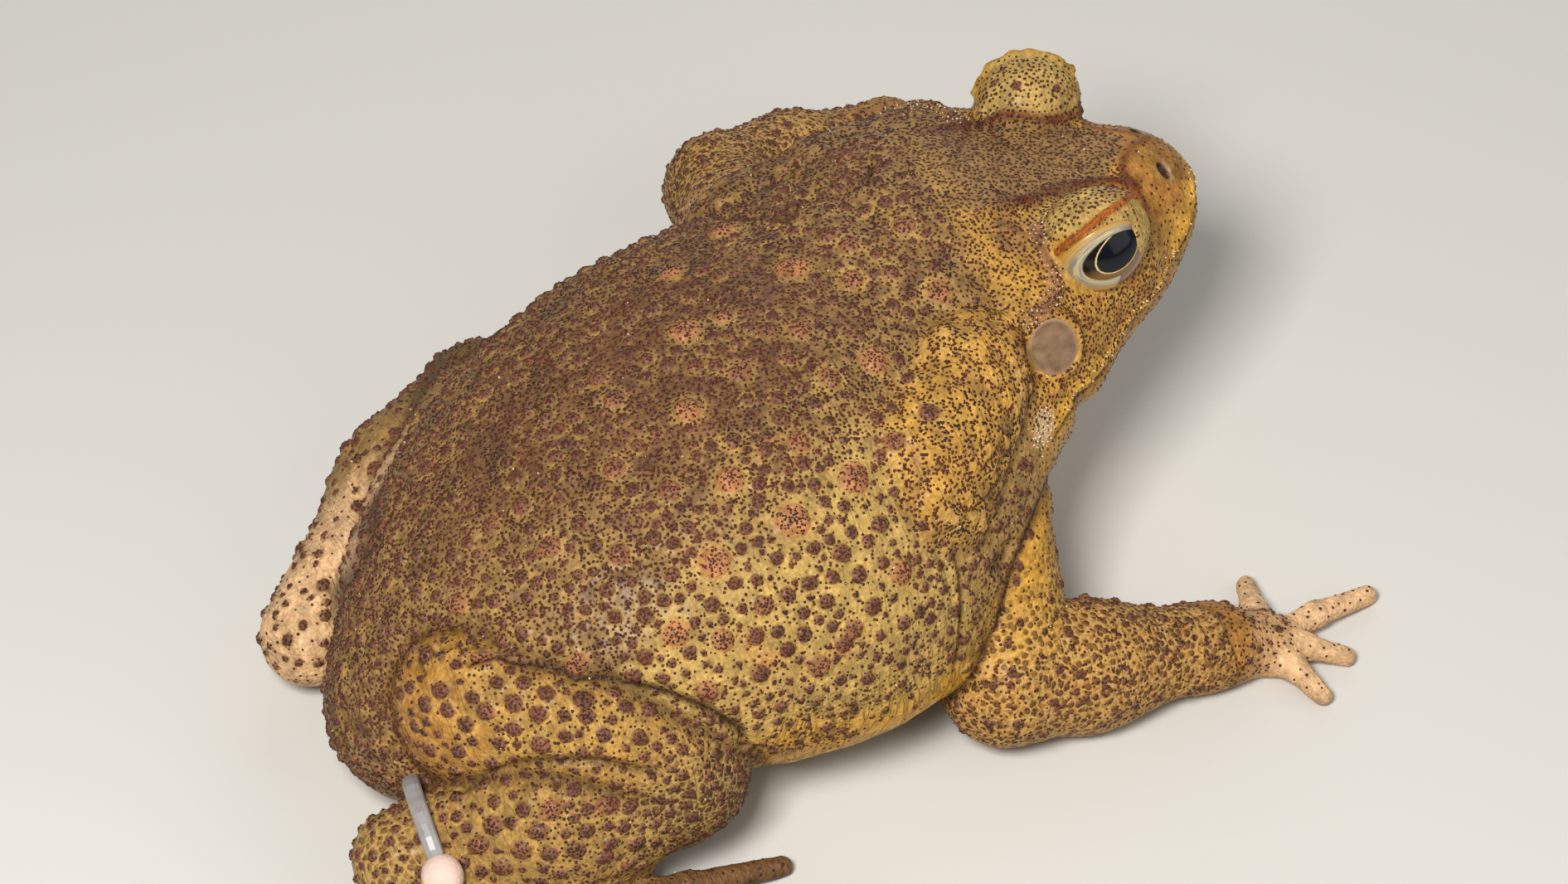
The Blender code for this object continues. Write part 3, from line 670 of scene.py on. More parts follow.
# Folds of loose skin where the photograph shows them: pixels along each, half width, depth and the darkness
# of the painted shade laid in them
photoFolds = (
    (((564, 799), (598, 788), (614, 796), (650, 800), (675, 804), (692, 817), (720, 814), (750, 820),
      (778, 829), (809, 838), (839, 850), (864, 863), (892, 882), (903, 904)), 0.6, 1.0, 0.95),
    (((500, 806), (520, 786), (545, 779), (575, 780), (592, 784)), 0.45, 0.5, 0.5),
    (((556, 952), (576, 940), (598, 931), (628, 921), (659, 918), (695, 918), (726, 918),
      (753, 924), (781, 931), (804, 928)), 0.6, 0.8, 0.7),
    (((513, 762), (503, 775), (501, 790), (506, 806), (514, 818)), 0.5, 0.5, 0.6),
    (((480, 585), (474, 610), (462, 640), (452, 672), (446, 700)), 0.6, 0.5, 0.6),
    (((495, 607), (480, 640), (468, 668), (458, 700)), 0.6, -0.45, 0.0),
    (((860, 264), (896, 262), (928, 260), (946, 264), (956, 258), (960, 244), (986, 238), (1018, 228),
      (1046, 218), (1050, 198), (1076, 194)), 0.5, 0.6, 0.75),
    (((950, 262), (946, 240), (956, 218), (972, 204)), 0.5, 0.5, 0.6),
    (((1232, 520), (1226, 552), (1205, 582), (1178, 612), (1150, 640), (1122, 655)), 0.3, 0.35, 0.4),
    (((1222, 515), (1216, 546), (1196, 574), (1170, 602), (1143, 628)), 0.3, 0.3, 0.3),
    (((1210, 520), (1204, 542), (1186, 566), (1162, 590)), 0.3, 0.25, 0.25),
    (((1236, 400), (1236, 430), (1240, 470), (1247, 500)), 0.35, 0.5, 0.6),
    (((1243, 415), (1244, 440), (1250, 480), (1255, 505)), 0.3, 0.3, 0.35),
    (((1190, 133), (1183, 150), (1176, 170)), 0.3, 0.4, 0.5),
    (((1178, 131), (1170, 150), (1158, 178), (1150, 200)), 0.3, 0.4, 0.6),
    (((1200, 135), (1196, 152), (1190, 172)), 0.3, 0.35, 0.4),
    (((1166, 130), (1158, 146), (1152, 165)), 0.3, 0.35, 0.4),
    (((1128, 668), (1140, 690), (1149, 722), (1150, 760)), 0.35, 0.4, 0.3),
    (((1150, 655), (1159, 690), (1162, 735), (1158, 780), (1150, 820)), 0.5, 0.6, 0.7),
    (((1108, 668), (1118, 700), (1126, 740)), 0.3, 0.25, 0.2),
)

# Creases where two parts of the body press together: the two, half width, depth and the darkness of the
# painted shade laid in them
bodyCreases = (
    ("thigh right", "body", 0.8, 0.7, 0.6),
    ("thigh right", "shank right", 0.8, 0.6, 0.6),
    ("thigh left", "body", 0.9, 0.8, 0.7),
    ("thigh left", "shank left", 0.8, 0.6, 0.6),
    ("gland right", "body", 0.9, 0.55, 0.12),
    ("gland right", "skull", 0.9, 0.5, 0.12),
    ("gland left", "body", 0.9, 0.4, 0.12),
    ("gland right", "upper arm right", 0.8, 0.8, 0.8),
    ("gland left", "upper arm left", 0.8, 0.8, 0.9),
    ("upper arm right", "body", 0.8, 0.8, 0.6),
    ("upper arm left", "body", 0.9, 0.8, 0.7),
)


def lineGap(points, line):
    nearest = np.full(len(points), 1e9)
    for start, end in zip(line[:-1], line[1:]):
        along = end - start
        share = np.clip((points - start) @ along / (along @ along), 0, 1)
        nearest = np.minimum(nearest, np.linalg.norm(points - start - share[:, None] * along, axis=1))
    return nearest


def nearLineGap(points, line, reach):
    # the same, worked out only for points in the line's own box
    gap = np.full(len(points), 1e9)
    near = np.all((points > line.min(0) - reach) & (points < line.max(0) + reach), axis=1)
    gap[near] = lineGap(points[near], line)
    return gap


def onSkin(line):
    # the line drawn finely and laid on the smooth skin
    laid = []
    for start, end in zip(line[:-1], line[1:]):
        for step in range(4):
            laid.append(start + (end - start) * step / 4)
    laid = np.array(laid + [line[-1]])
    for _ in range(4):
        here, slope = slopeOf(skinDistance, laid)
        laid = laid - here[:, None] * slope
    return laid


laidLines = {}


def headLineGap(points, name, side=0):
    # distance to a line of the head: on both sides, or on the one given
    if name not in laidLines:
        line = headLines[name][0]
        place = besideEye if name == "brow" else sided
        lean = (0, crownLean if name in ("crest", "rostral", "preocular") else 0, 0)
        laidLines[name] = []
        for hand in (1, -1):
            spots = [inHead(np.array(place(spot, hand)) + lean) for spot in line]
            laidLines[name].append(onSkin(np.array(spots)))
    chosen = laidLines[name] if side == 0 else laidLines[name][:1] if side > 0 else laidLines[name][1:]
    return np.min([nearLineGap(points, line, 6.0) for line in chosen], axis=0)


def layFolds(tree):
    # the photograph's folds, each followed over the skin from the camera
    laid = []
    for pixels, half, depth, dark in photoFolds:
        line = []
        for (x0, y0), (x1, y1) in zip(pixels[:-1], pixels[1:]):
            for share in (0, 0.5):
                eye, way = photoRay(x0 + (x1 - x0) * share, y0 + (y1 - y0) * share)
                spot = tree.ray_cast(Vector(eye), Vector(way))[0]
                if spot:
                    line.append(np.array(spot))
        if len(line) > 1:
            laid.append((np.array(line), half, depth, dark))
    return laid


def foldsAt(points, d, folds):
    # how deep each point is sunk by folds and creases, and how much painted shade is laid in them
    depth = np.zeros(len(points))
    dark = np.zeros(len(points))
    for line, half, sunk, shade in folds:
        gap = nearLineGap(points, line, 3.0)
        near = np.exp(-((gap / half) ** 2))
        depth = np.where(np.abs(sunk * near) > np.abs(depth), sunk * near, depth)
        dark = np.maximum(dark, shade * np.exp(-((gap / (half * 0.8)) ** 2)))
    for first, second, half, sunk, shade in bodyCreases:
        away = np.maximum(d[first], d[second])
        near = np.exp(-(((d[first] - d[second]) / half) ** 2)) * smooth(2.5, 1.2, away)
        depth = np.where(sunk * near > np.abs(depth), sunk * near, depth)
        dark = np.maximum(dark, shade * near**2)
    return depth, dark


def grain(points, size, seed=0.0):
    # soft random values from -1 to 1 that change over the given size
    shift = Vector((seed * 17.3, seed * 7.1, seed * 3.7))
    return np.array([noise.noise(Vector(point) + shift) for point in points / size])


def smooth(low, high, values):
    share = np.clip((values - low) / (high - low), 0, 1)
    return share * share * (3 - 2 * share)


# Nostrils: a slanting slit in the top of the snout, the way it faces and runs in the head's frame
nostrilSizes = {
    "centre": (36.1, 4.3, 5.5),
    "faces": (0.4, 0.33, 0.85),
    "runs": (-0.18, -0.885, 0.43),
    "radii": (0.55, 1.2, 1.3),
    "patch": 3.6,
    "join": 0.4,
}


def nostrilAt(side):
    out = Vector(sided(nostrilSizes["faces"], side)).normalized()
    across = out.cross(Vector(sided(nostrilSizes["runs"], side))).normalized()
    axes = headAxes @ np.array((across, across.cross(out), out)).T
    return Oval(inHead(sided(nostrilSizes["centre"], side)), nostrilSizes["radii"], axes)


# Ear drums: a flat seat in the cheek, in the head's frame
drumSizes = {
    "centre": (11.4, 23.4, 0.6),
    "faces": (-0.1, 1.0, 0.42),
    "radius": 3.2,
    "tall": 1.17,
    "rim": 0.12,
    "sink": 0.25,
    "seat": 4.8,
    "overlap": 0.15,
    "profile": ((0.0, 0.22), (0.35, 0.2), (0.6, 0.12), (0.8, 0.0), (0.92, 0.03), (1.0, -0.12), (1.02, -0.7)),
    "segments": 48,
}


def drumFrame(side):
    out = Vector(sided(drumSizes["faces"], side)).normalized()
    along = (Vector((1, 0, 0)) - out * out.x).normalized()
    above = out.cross(along)
    axes = headAxes @ np.array((along, above, out)).T
    centre = inHead(sided(drumSizes["centre"], side))
    for _ in range(8):
        centre = centre - axes[:, 2] * skinDistance(centre[None])[0]
    return centre, axes


# Warts. The larger ones stand where the photograph shows them: pixel across, pixel down, radius in pixels
photoWarts = (
    (956, 628, 22), (1029, 576, 21), (862, 678, 20), (880, 578, 18), (954, 324, 20), (826, 399, 18),
    (1053, 435, 19), (829, 495, 17), (815, 764, 17), (1087, 690, 16), (987, 803, 16), (1131, 352, 16),
    (872, 278, 16), (852, 834, 16), (1001, 457, 15), (963, 533, 15), (893, 449, 15), (964, 396, 15),
    (1027, 338, 15), (810, 328, 15), (663, 660, 15), (550, 729, 15), (741, 564, 15), (872, 772, 15),
    (582, 793, 14), (695, 800, 15), (807, 591, 14), (1090, 272, 14), (1024, 295, 14), (747, 669, 14),
    (872, 380, 14), (741, 481, 14), (1030, 759, 13), (1018, 776, 12), (921, 730, 13), (916, 812, 13),
    (998, 282, 13), (926, 398, 13), (628, 609, 13), (512, 789, 13), (1016, 667, 12), (1052, 731, 12),
    (911, 767, 12), (942, 504, 12), (591, 634, 12), (622, 576, 12), (720, 456, 12), (625, 455, 12),
    (515, 564, 12), (763, 816, 12), (1061, 632, 12), (976, 703, 11), (1036, 693, 11), (969, 764, 11),
    (778, 743, 11), (778, 792, 11), (866, 332, 11), (1074, 328, 11), (884, 531, 11), (698, 631, 11),
    (502, 714, 11), (806, 439, 11), (1043, 254, 10), (950, 717, 10), (997, 725, 10), (810, 693, 10),
    (939, 480, 10), (982, 487, 10), (923, 542, 10), (732, 712, 10), (628, 695, 10), (669, 550, 10),
    (701, 518, 10), (698, 435, 10), (539, 545, 10), (629, 764, 10), (481, 674, 10), (1004, 696, 9),
    (812, 655, 9), (981, 661, 9), (1047, 653, 9), (1027, 642, 9), (937, 673, 9), (969, 739, 9),
    (983, 585, 9), (801, 724, 9), (1057, 503, 9), (741, 744, 9), (605, 663, 9), (564, 654, 9),
    (914, 653, 8), (894, 662, 8), (995, 605, 8), (785, 611, 8), (1000, 508, 8), (958, 489, 8),
    (698, 694, 8), (636, 721, 8), (1079, 531, 14), (1120, 498, 13), (513, 849, 11), (480, 866, 10),
    (539, 856, 10), (586, 858, 12), (619, 848, 12), (569, 841, 9), (631, 823, 10), (599, 823, 9),
    (649, 861, 12), (703, 843, 13), (659, 836, 11), (708, 863, 11), (680, 863, 8), (755, 851, 10),
    (785, 854, 10), (619, 879, 10), (561, 874, 11), (652, 898, 13), (682, 888, 9), (728, 886, 10),
    (771, 889, 11), (602, 896, 9), (703, 908, 9), (553, 906, 10), (518, 903, 11), (500, 876, 8),
    (594, 921, 10), (529, 947, 8), (675, 917, 8), (665, 976, 15), (629, 1025, 14), (695, 1025, 13),
    (606, 1045, 14), (649, 1002, 13), (594, 995, 13), (616, 992, 9), (733, 971, 13), (707, 1002, 11),
    (577, 1019, 13), (662, 1030, 11), (768, 1017, 12), (735, 1017, 11), (728, 1034, 11), (708, 976, 9),
    (752, 997, 9), (631, 977, 10), (596, 967, 9), (791, 995, 8), (795, 966, 8), (833, 959, 8),
    (742, 947, 9), (692, 952, 10), (558, 1040, 9), (757, 1043, 10), (675, 1053, 9), (551, 985, 8),
    (1226, 103, 6), (1200, 100, 5), (1187, 117, 4), (1209, 84, 4), (1275, 107, 5),
)

# The rest are strewn by region: how many at most, their radii and the least gap between two
wartBeds = {
    "trunk": {"count": 1400, "radii": (0.4, 1.05), "gap": 0.18},
    "arm": {"count": 330, "radii": (0.4, 0.85), "gap": 0.28},
    "leg": {"count": 480, "radii": (0.45, 1.15), "gap": 0.26},
}


def kindsOf(points):
    # how far each point belongs to each kind of place, 0 to 1, softly over their borders
    d = partDistances(points)
    groups = {
        "trunk": ("body",), "head": ("skull", "lids"), "gland": ("gland",), "arm": ("upper", "forearm"),
        "hand": ("fingers",), "leg": ("thigh", "shank"), "foot": ("tarsus", "toes"),
    }
    nearest = {}
    for kind, starts in groups.items():
        nearest[kind] = np.min([d[name] for name in d if name.split()[0] in starts], axis=0)
    share = {}
    for kind in groups:
        others = np.min([nearest[other] for other in groups if other != kind], axis=0)
        share[kind] = smooth(0.9, -0.9, nearest[kind] - others)
    local = headPlace(points)
    overHead = smooth(2, 9, local[:, 0])
    both = share["trunk"] + share["head"]
    share["head"] = both * overHead
    share["trunk"] = both * (1 - overHead)
    return share, d, local


def placeWarts(tree, points, normals, kinds):
    # centres and radii, the photograph's first and then the strewn ones, none over another
    placed = []
    for px, py, radius in photoWarts:
        eye, way = photoRay(px, py)
        spot = tree.ray_cast(Vector(eye), Vector(way))[0]
        if spot:
            scale = camera["pixelsPerMm"] * camera["distance"] / ((np.array(spot) - eye) @ cameraAxes()[2])
            placed.append((np.array(spot), radius / scale))
    rng = np.random.default_rng(11)
    count = len(placed)
    room = count + sum(bed["count"] for bed in wartBeds.values())
    centres = np.zeros((room, 3))
    radii = np.zeros(room)
    centres[:count] = [spot for spot, _ in placed]
    radii[:count] = [radius for _, radius in placed]
    local = headPlace(points)
    bare = smooth(6, 14, points[:, 0]) * smooth(25, 17, points[:, 2]) * (points[:, 1] < -12)
    for name, bed in wartBeds.items():
        share = kinds[name] * (normals[:, 2] > -0.3) * (points[:, 2] > 3.5)
        if name == "trunk":
            share = share * (local[:, 0] < 4) * (1 - 0.97 * bare)
        if name == "arm":
            share = share * (1 - 0.8 * smooth(14, 22, points[:, 2]) * (points[:, 1] < 0))
        if name == "leg":
            inner = (points[:, 1] > 14) * (points[:, 1] < 40)
            share = share * (1 - 0.75 * smooth(-4, -20, points[:, 0]) * inner)
        allowed = np.flatnonzero(share > rng.random(len(points)))
        tried = rng.permutation(allowed)[: bed["count"] * 7]
        sizes = bed["radii"][0] + (bed["radii"][1] - bed["radii"][0]) * rng.random(len(tried)) ** 1.7
        last = count + bed["count"]
        for index, size in zip(tried, sizes):
            gaps = np.linalg.norm(centres[:count] - points[index], axis=1) - radii[:count]
            if gaps.min() > size + bed["gap"]:
                centres[count] = points[index]
                radii[count] = size
                count += 1
                if count == last:
                    break
    print("warts:", count)
    return centres[:count], radii[:count]


def placePores(points, kinds):
    # the middles of the swellings of the glands behind the eyes, each round a pore
    chosen = points[kinds["gland"] > 0.5]
    return chosen[thinned(chosen, 2.7, np.random.default_rng(4))]


def poreGaps(points, kinds, pores):
    gap = np.full(len(points), 9.0)
    chosen = np.flatnonzero(kinds["gland"] > 0.1)
    for pore in pores:
        gap[chosen] = np.minimum(gap[chosen], np.linalg.norm(points[chosen] - pore, axis=1))
    return gap


def wartShares(points, centres, radii):
    # for each point the nearest wart's share of radius (0 at its middle, 1 at its rim) and its radius
    share = np.full(len(points), 9.0)
    size = np.zeros(len(points))
    order = np.argsort(points[:, 0])
    xs = points[order, 0]
    for centre, radius in zip(centres, radii):
        reach = radius * 2.4
        low, high = np.searchsorted(xs, (centre[0] - reach, centre[0] + reach))
        near = order[low:high]
        gap = np.linalg.norm(points[near] - centre, axis=1) / radius
        closer = gap < share[near]
        share[near[closer]] = gap[closer]
        size[near[closer]] = radius
    return share, size


def liftOf(points, kinds, share, size, sunk, pores):
    # how far each point of the smooth flesh is raised or sunk
    fine = grain(points, 1.5)
    coarse = grain(points, 4.2, 2.0)
    lift = 0.16 * size * np.clip(1 - (share / 1.5) ** 2, 0, None) ** 1.5
    lift -= 0.10 * size * np.exp(-(((share - 1.35) / 0.3) ** 2))  # a faint moat round each wart
    swell = np.exp(-((poreGaps(points, kinds, pores) / 1.2) ** 2))
    lift += kinds["gland"] * (0.35 * swell + 0.35 * coarse + 0.2 * fine)
    lift += kinds["trunk"] * (0.22 * coarse + 0.06 * fine)
    lift += (kinds["arm"] + kinds["leg"]) * (0.16 * coarse + 0.08 * fine)
    lift += (kinds["hand"] + kinds["foot"]) * 0.12 * fine
    lift += kinds["head"] * 0.07 * fine
    lines = np.zeros(len(points))
    for name, (_, half, height) in headLines.items():
        bump = height * np.exp(-((headLineGap(points, name) / half) ** 2))
        if name not in ("lip", "mouth"):
            bump = bump * (1 + 0.5 * fine)
        lines = np.where(np.abs(bump) > np.abs(lines), bump, lines)
    return lift + lines - sunk


def seatDrums(points):
    for side in (1, -1):
        centre, axes = drumFrame(side)
        place = (points - centre) @ axes
        away = np.hypot(place[:, 0], place[:, 1] / drumSizes["tall"])
        near = (away < drumSizes["seat"]) & (np.abs(place[:, 2]) < 4)
        rim = drumSizes["radius"]
        ring = drumSizes["rim"] * np.exp(-(((away - rim - 0.5) / 0.5) ** 2))
        target = np.where(away < rim, -drumSizes["sink"], ring)
        weight = smooth(4.7, 3.7, away)
        place[:, 2] = np.where(near, place[:, 2] * (1 - weight) + target * weight, place[:, 2])
        points[near] = (place @ axes.T + centre)[near]
    return points


# Seven pigments of the skin, which the regions share
pigments = {
    "khaki": "#a8884a",
    "olive": "#87673a",
    "umber": "#6a4a2c",
    "bronze": "#98692e",
    "honey": "#b08338",
    "gold": "#cc962e",
    "cream": "#c8a074",
}

# What each region and mark is coloured with: a pigment, or a tone of its own
skinTones = {
    "flank": "khaki",
    "lowFlank": "gold",
    "belly": "#b79a68",
    "back": "olive",
    "midBack": "umber",
    "shoulder": "olive",
    "rump": "olive",
    "crown": "olive",
    "lid": "khaki",
    "leftLidRim": "#9e762e",
    "snout": "bronze",
    "snoutSide": "honey",
    "nostrilRim": "#c9a888",
    "nostrilHalo": "#74643e",
    "nostrilPatch": "bronze",
    "cheek": "honey",
    "crest": "#5e2f18",
    "brow": "#96501a",
    "underBrow": "honey",
    "behindEye": "#5c3a30",
    "jawGland": "#c4a67c",
    "lip": "gold",
    "ridgeBehindEye": "#7c5038",
    "glandRight": "honey",
    "glandRightLow": "olive",
    "glandLeft": "olive",
    # pore: the pale tops of the gland's swellings, partly their own cream and partly painted highlight
    "pore": "#c89c58",
    "mauve": "#563a2e",
    "armTop": "gold",
    "arm": "bronze",
    "forearm": "bronze",
    "wrist": "bronze",
    "hand": "cream",
    "leftArmInner": "cream",
    "thigh": "honey",
    "thighRear": "bronze",
    "shank": "olive",
    "knee": "khaki",
    "foot": "umber",
    "leftLeg": "cream",
    "leftLegOuter": "olive",
    "wartBig": "#a26c42",
    "wartMiddle": "#7c5034",
    "wartSmall": "#68422e",
    "halo": "#b4924c",
    # painted shade, laid in folds, creases, the mouth groove and the nostril slits
    "fold": "#2c190c",
    "rust": "#94502c",
}


def toneOf(name):
    return linear(pigments.get(skinTones[name], skinTones[name]))


# Rusty patches low on the right flank: pixel across, pixel down, radius in mm
rustPatches = ((930, 800, 2.6), (900, 780, 2.0), (1015, 790, 1.6), (945, 822, 1.8))


def paintTrunk(over, site):
    normals, kinds, broad, blotch = site.normals, site.kinds, site.broad, site.blotch
    x, y, z = site.points.T
    aside = np.abs(y - (-2 + (x + 40) * 0.15))
    over("lowFlank", smooth(27, 15, z + 3 * broad) * smooth(18, 28, aside))
    over("back", smooth(33, 20, aside + 5 * broad))
    over("rump", smooth(-16, -34, x + 5 * broad))
    over("midBack", smooth(1.1, 0.55, np.hypot((x - 2) / 32, (y - 5) / 20) + 0.25 * broad))
    over("shoulder", smooth(24, 34, x + 5 * broad) * 0.8)
    over("mauve", kinds["trunk"] * smooth(0.05, 0.45, blotch) * smooth(34, 20, aside) * 0.65)
    over("belly", smooth(-0.3, -0.8, normals[:, 2]))


def paintHead(over, site):
    points, normals, local, d = site.points, site.normals, site.local, site.d
    blotch, head = site.blotch, site.kinds["head"]
    hx, hz = local[:, 0], local[:, 2]

    def nearLine(name, half):
        return head * np.exp(-((headLineGap(points, name) / half) ** 2))

    over("cheek", head)
    over("snoutSide", head * smooth(24, 31, hx))
    middleY = local[:, 1] - crownLean
    beyond = hx - headSizes["snoutLine"] + np.abs(middleY)
    over("crown", head * smooth(11, 8.5, np.abs(middleY)) * smooth(1, 5, hz) * smooth(0.5, -0.5, beyond))
    over("snout", head * smooth(-0.5, 0.5, beyond) * smooth(30, 31, hx) * smooth(1, 4, hz))
    for side in (1, -1):
        nostril = np.array(sided(nostrilSizes["centre"], side))
        away = np.linalg.norm((local - nostril) * (0.8, 1, 1), axis=1)
        over("nostrilPatch", head * smooth(nostrilSizes["patch"], 2.0, away))
        over("nostrilHalo", head * smooth(2.0, 0.9, away + 0.4 * blotch) * 0.5)
        slit = nostrilAt(side).distance(points)
        over("nostrilRim", head * smooth(0.9, 0.5, slit) * smooth(0.2, 0.8, hx - nostril[0]) * 0.7)
        # painted shade inside the nostril slit
        over("fold", smooth(0.35, 0.0, slit))
    over("lid", head * smooth(0.8, -0.4, d["lids"] - d["skull"]) * (hz > 0))
    behind = mirroredGap(local, headSizes["behindEye"])
    stained = 0.55 + 0.5 * grain(points, 1.6, 8.0)
    over("behindEye", head * smooth(5.5, 1.5, behind + 2.5 * blotch) * stained)
    rusty = smooth(0.1, 0.5, grain(points, 1.5, 7.0))
    over("rust", head * rusty * smooth(6, 3, hz) * smooth(2, -1, hz - 8) * 0.55)
    over("ridgeBehindEye", nearLine("postocular", 1.1) * 0.9)
    over("crest", nearLine("crest", 1.0) * (0.9 + 0.6 * blotch) * smooth(8, 14, hx))
    over("crest", nearLine("rostral", 0.6) * (0.8 + 0.5 * blotch))
    over("crest", nearLine("preocular", 0.4) * 0.7)
    knob = mirroredGap(local, headSizes["knob"], crownLean)
    over("crest", head * smooth(1.9, 0.8, knob + 0.4 * blotch) * 0.85)
    over("lip", nearLine("lip", 1.0) * (0.85 + 0.4 * blotch))
    # painted shade along the groove of the mouth
    over("fold", nearLine("mouth", 0.45) * 0.85)
    over("belly", head * smooth(-8, -12, hz) * smooth(0.2, -0.4, normals[:, 2]))
    jaw = mirroredGap(local, headSizes["jawGland"])
    over("jawGland", smooth(3.0, 1.4, jaw + blotch) * 0.85)
    browGap = headLineGap(points, "brow")
    over("underBrow", smooth(2.6, 1.0, browGap) * smooth(0.8, 0.5, normals @ headAxes[:, 2]) * (head > 0.5))
    speckled = 0.8 + 0.8 * grain(points, 0.9, 5.0)
    rightBrow = headLineGap(points, "brow", -1)
    over("brow", smooth(0.65, 0.3, rightBrow + 0.2 * grain(points, 1.2, 12.0)))
    over("crest", smooth(0.6, 0.2, rightBrow) * smooth(0.75, 0.95, 1.2 - speckled) * 0.8)
    over("leftLidRim", smooth(0.55, 0.2, headLineGap(points, "brow", 1) + 0.3 * blotch))


def paintGlands(over, site):
    kinds, broad, blotch, z = site.kinds, site.broad, site.blotch, site.points[:, 2]
    right = site.right
    poreGap = poreGaps(site.points, kinds, site.pores)
    over("glandRight", kinds["gland"] * right)
    over("glandRightLow", kinds["gland"] * right * smooth(38, 30, z + 2 * broad) * 0.8)
    over("glandLeft", kinds["gland"] * ~right)
    # the gland's own mauve, with painted shade, in the hollows between its swellings
    over("mauve", kinds["gland"] * smooth(1.5, 2.2, poreGap + 0.6 * blotch) * 0.45)
    # the pale tops round each pore, partly their own cream and partly painted highlight
    nearPore = smooth(1.4, 0.6, poreGap + 0.6 * blotch)
    over("pore", kinds["gland"] * right * nearPore * smooth(-0.3, 0.4, broad) * 0.5)


def paintLimbs(over, site):
    points, kinds, d = site.points, site.kinds, site.d
    broad, blotch, right = site.broad, site.blotch, site.right
    x, y, z = points.T
    over("arm", kinds["arm"])
    over("armTop", kinds["arm"] * smooth(11, 20, z) * right)
    over("leftArmInner", kinds["arm"] * ~right * smooth(55, 47, y + 0.25 * (x - 45) + 2 * broad) * 0.9)
    for side in ("right", "left"):
        onForearm = smooth(1.5, -1.5, d["forearm " + side] - d["upper arm " + side])
        over("forearm", kinds["arm"] * onForearm * 0.9)
        wrist = np.linalg.norm(points - np.array(arms[side]["wrist"][0]), axis=1)
        over("wrist", kinds["arm"] * smooth(9, 4, wrist) * (1 if side == "right" else 0.4))
        over("hand", smooth(6, 2, d["fingers " + side]) * (kinds["hand"] + kinds["arm"]))
        over("thigh", kinds["leg"] * smooth(1, -1, d["thigh " + side] - d["shank " + side]))
        over("shank", kinds["leg"] * smooth(1, -1, d["shank " + side] - d["thigh " + side]))
        knee, kneeRadius = legs[side]["knee"]
        knee = np.linalg.norm(points - np.array(knee), axis=1) - kneeRadius
        over("knee", kinds["leg"] * smooth(4, -1, knee + 2 * broad) * 0.8)
    onThigh = smooth(1, -1, d["thigh right"] - d["shank right"])
    over("thighRear", kinds["leg"] * onThigh * smooth(-31, -38, x + 3 * broad) * smooth(9, 15, z) * (y < 4))
    over("foot", kinds["foot"])
    leftLeg = (kinds["leg"] + kinds["foot"]) * (y > 8) * smooth(4, -8, x)
    over("leftLegOuter", leftLeg)
    over("leftLeg", leftLeg * smooth(36, 27, y + 0.35 * (x + 22) + 2 * blotch))


def paintMarks(over, site):
    # warts, rusty patches and the shade in folds
    points, blotch = site.points, site.blotch
    share, size = site.share, site.size
    halo = np.exp(-(((share - 1.2) / 0.3) ** 2)) * smooth(0.4, 0.9, size)
    over("halo", halo * 0.45 * (1 - site.kinds["head"]))
    big = smooth(1.25, 1.75, size)
    onWart = smooth(1.05, 0.85, share)
    over("wartSmall", onWart * (1 - big))
    over("wartBig", onWart * big)
    patches = np.zeros(len(points))
    for px, py, radius in rustPatches:
        eye, way = photoRay(px, py)
        away = np.linalg.norm(np.cross(points - eye, way), axis=1)
        patches = np.maximum(patches, np.exp(-((away / radius) ** 2)) * (points[:, 1] < -20))
    over("rust", patches * smooth(-0.3, 0.3, blotch) * 0.45)
    # painted shade in the folds and creases
    over("fold", site.dark * 1.1)


def paint(points, normals, kinds, d, local, share, size, dark, pores):
    # the colour of every point, laid on in coats
    tones = np.tile(toneOf("flank"), (len(points), 1))
    broad = grain(points, 7.0, 1.0)
    blotch = grain(points, 3.0, 3.0)
    site = SimpleNamespace(
        points=points, normals=normals, kinds=kinds, d=d, local=local, share=share, size=size, dark=dark,
        pores=pores, broad=broad, blotch=blotch, right=points[:, 1] < 5)

    def over(name, weight):
        weight = np.clip(weight, 0, 1)[:, None]
        tones[:] = tones * (1 - weight) + np.array(toneOf(name)) * weight

    for coat in (paintTrunk, paintHead, paintGlands, paintLimbs, paintMarks):
        coat(over, site)
    tones *= (1 + 0.10 * blotch + 0.08 * broad)[:, None]
    return np.concatenate((tones, np.ones((len(tones), 1))), axis=1)


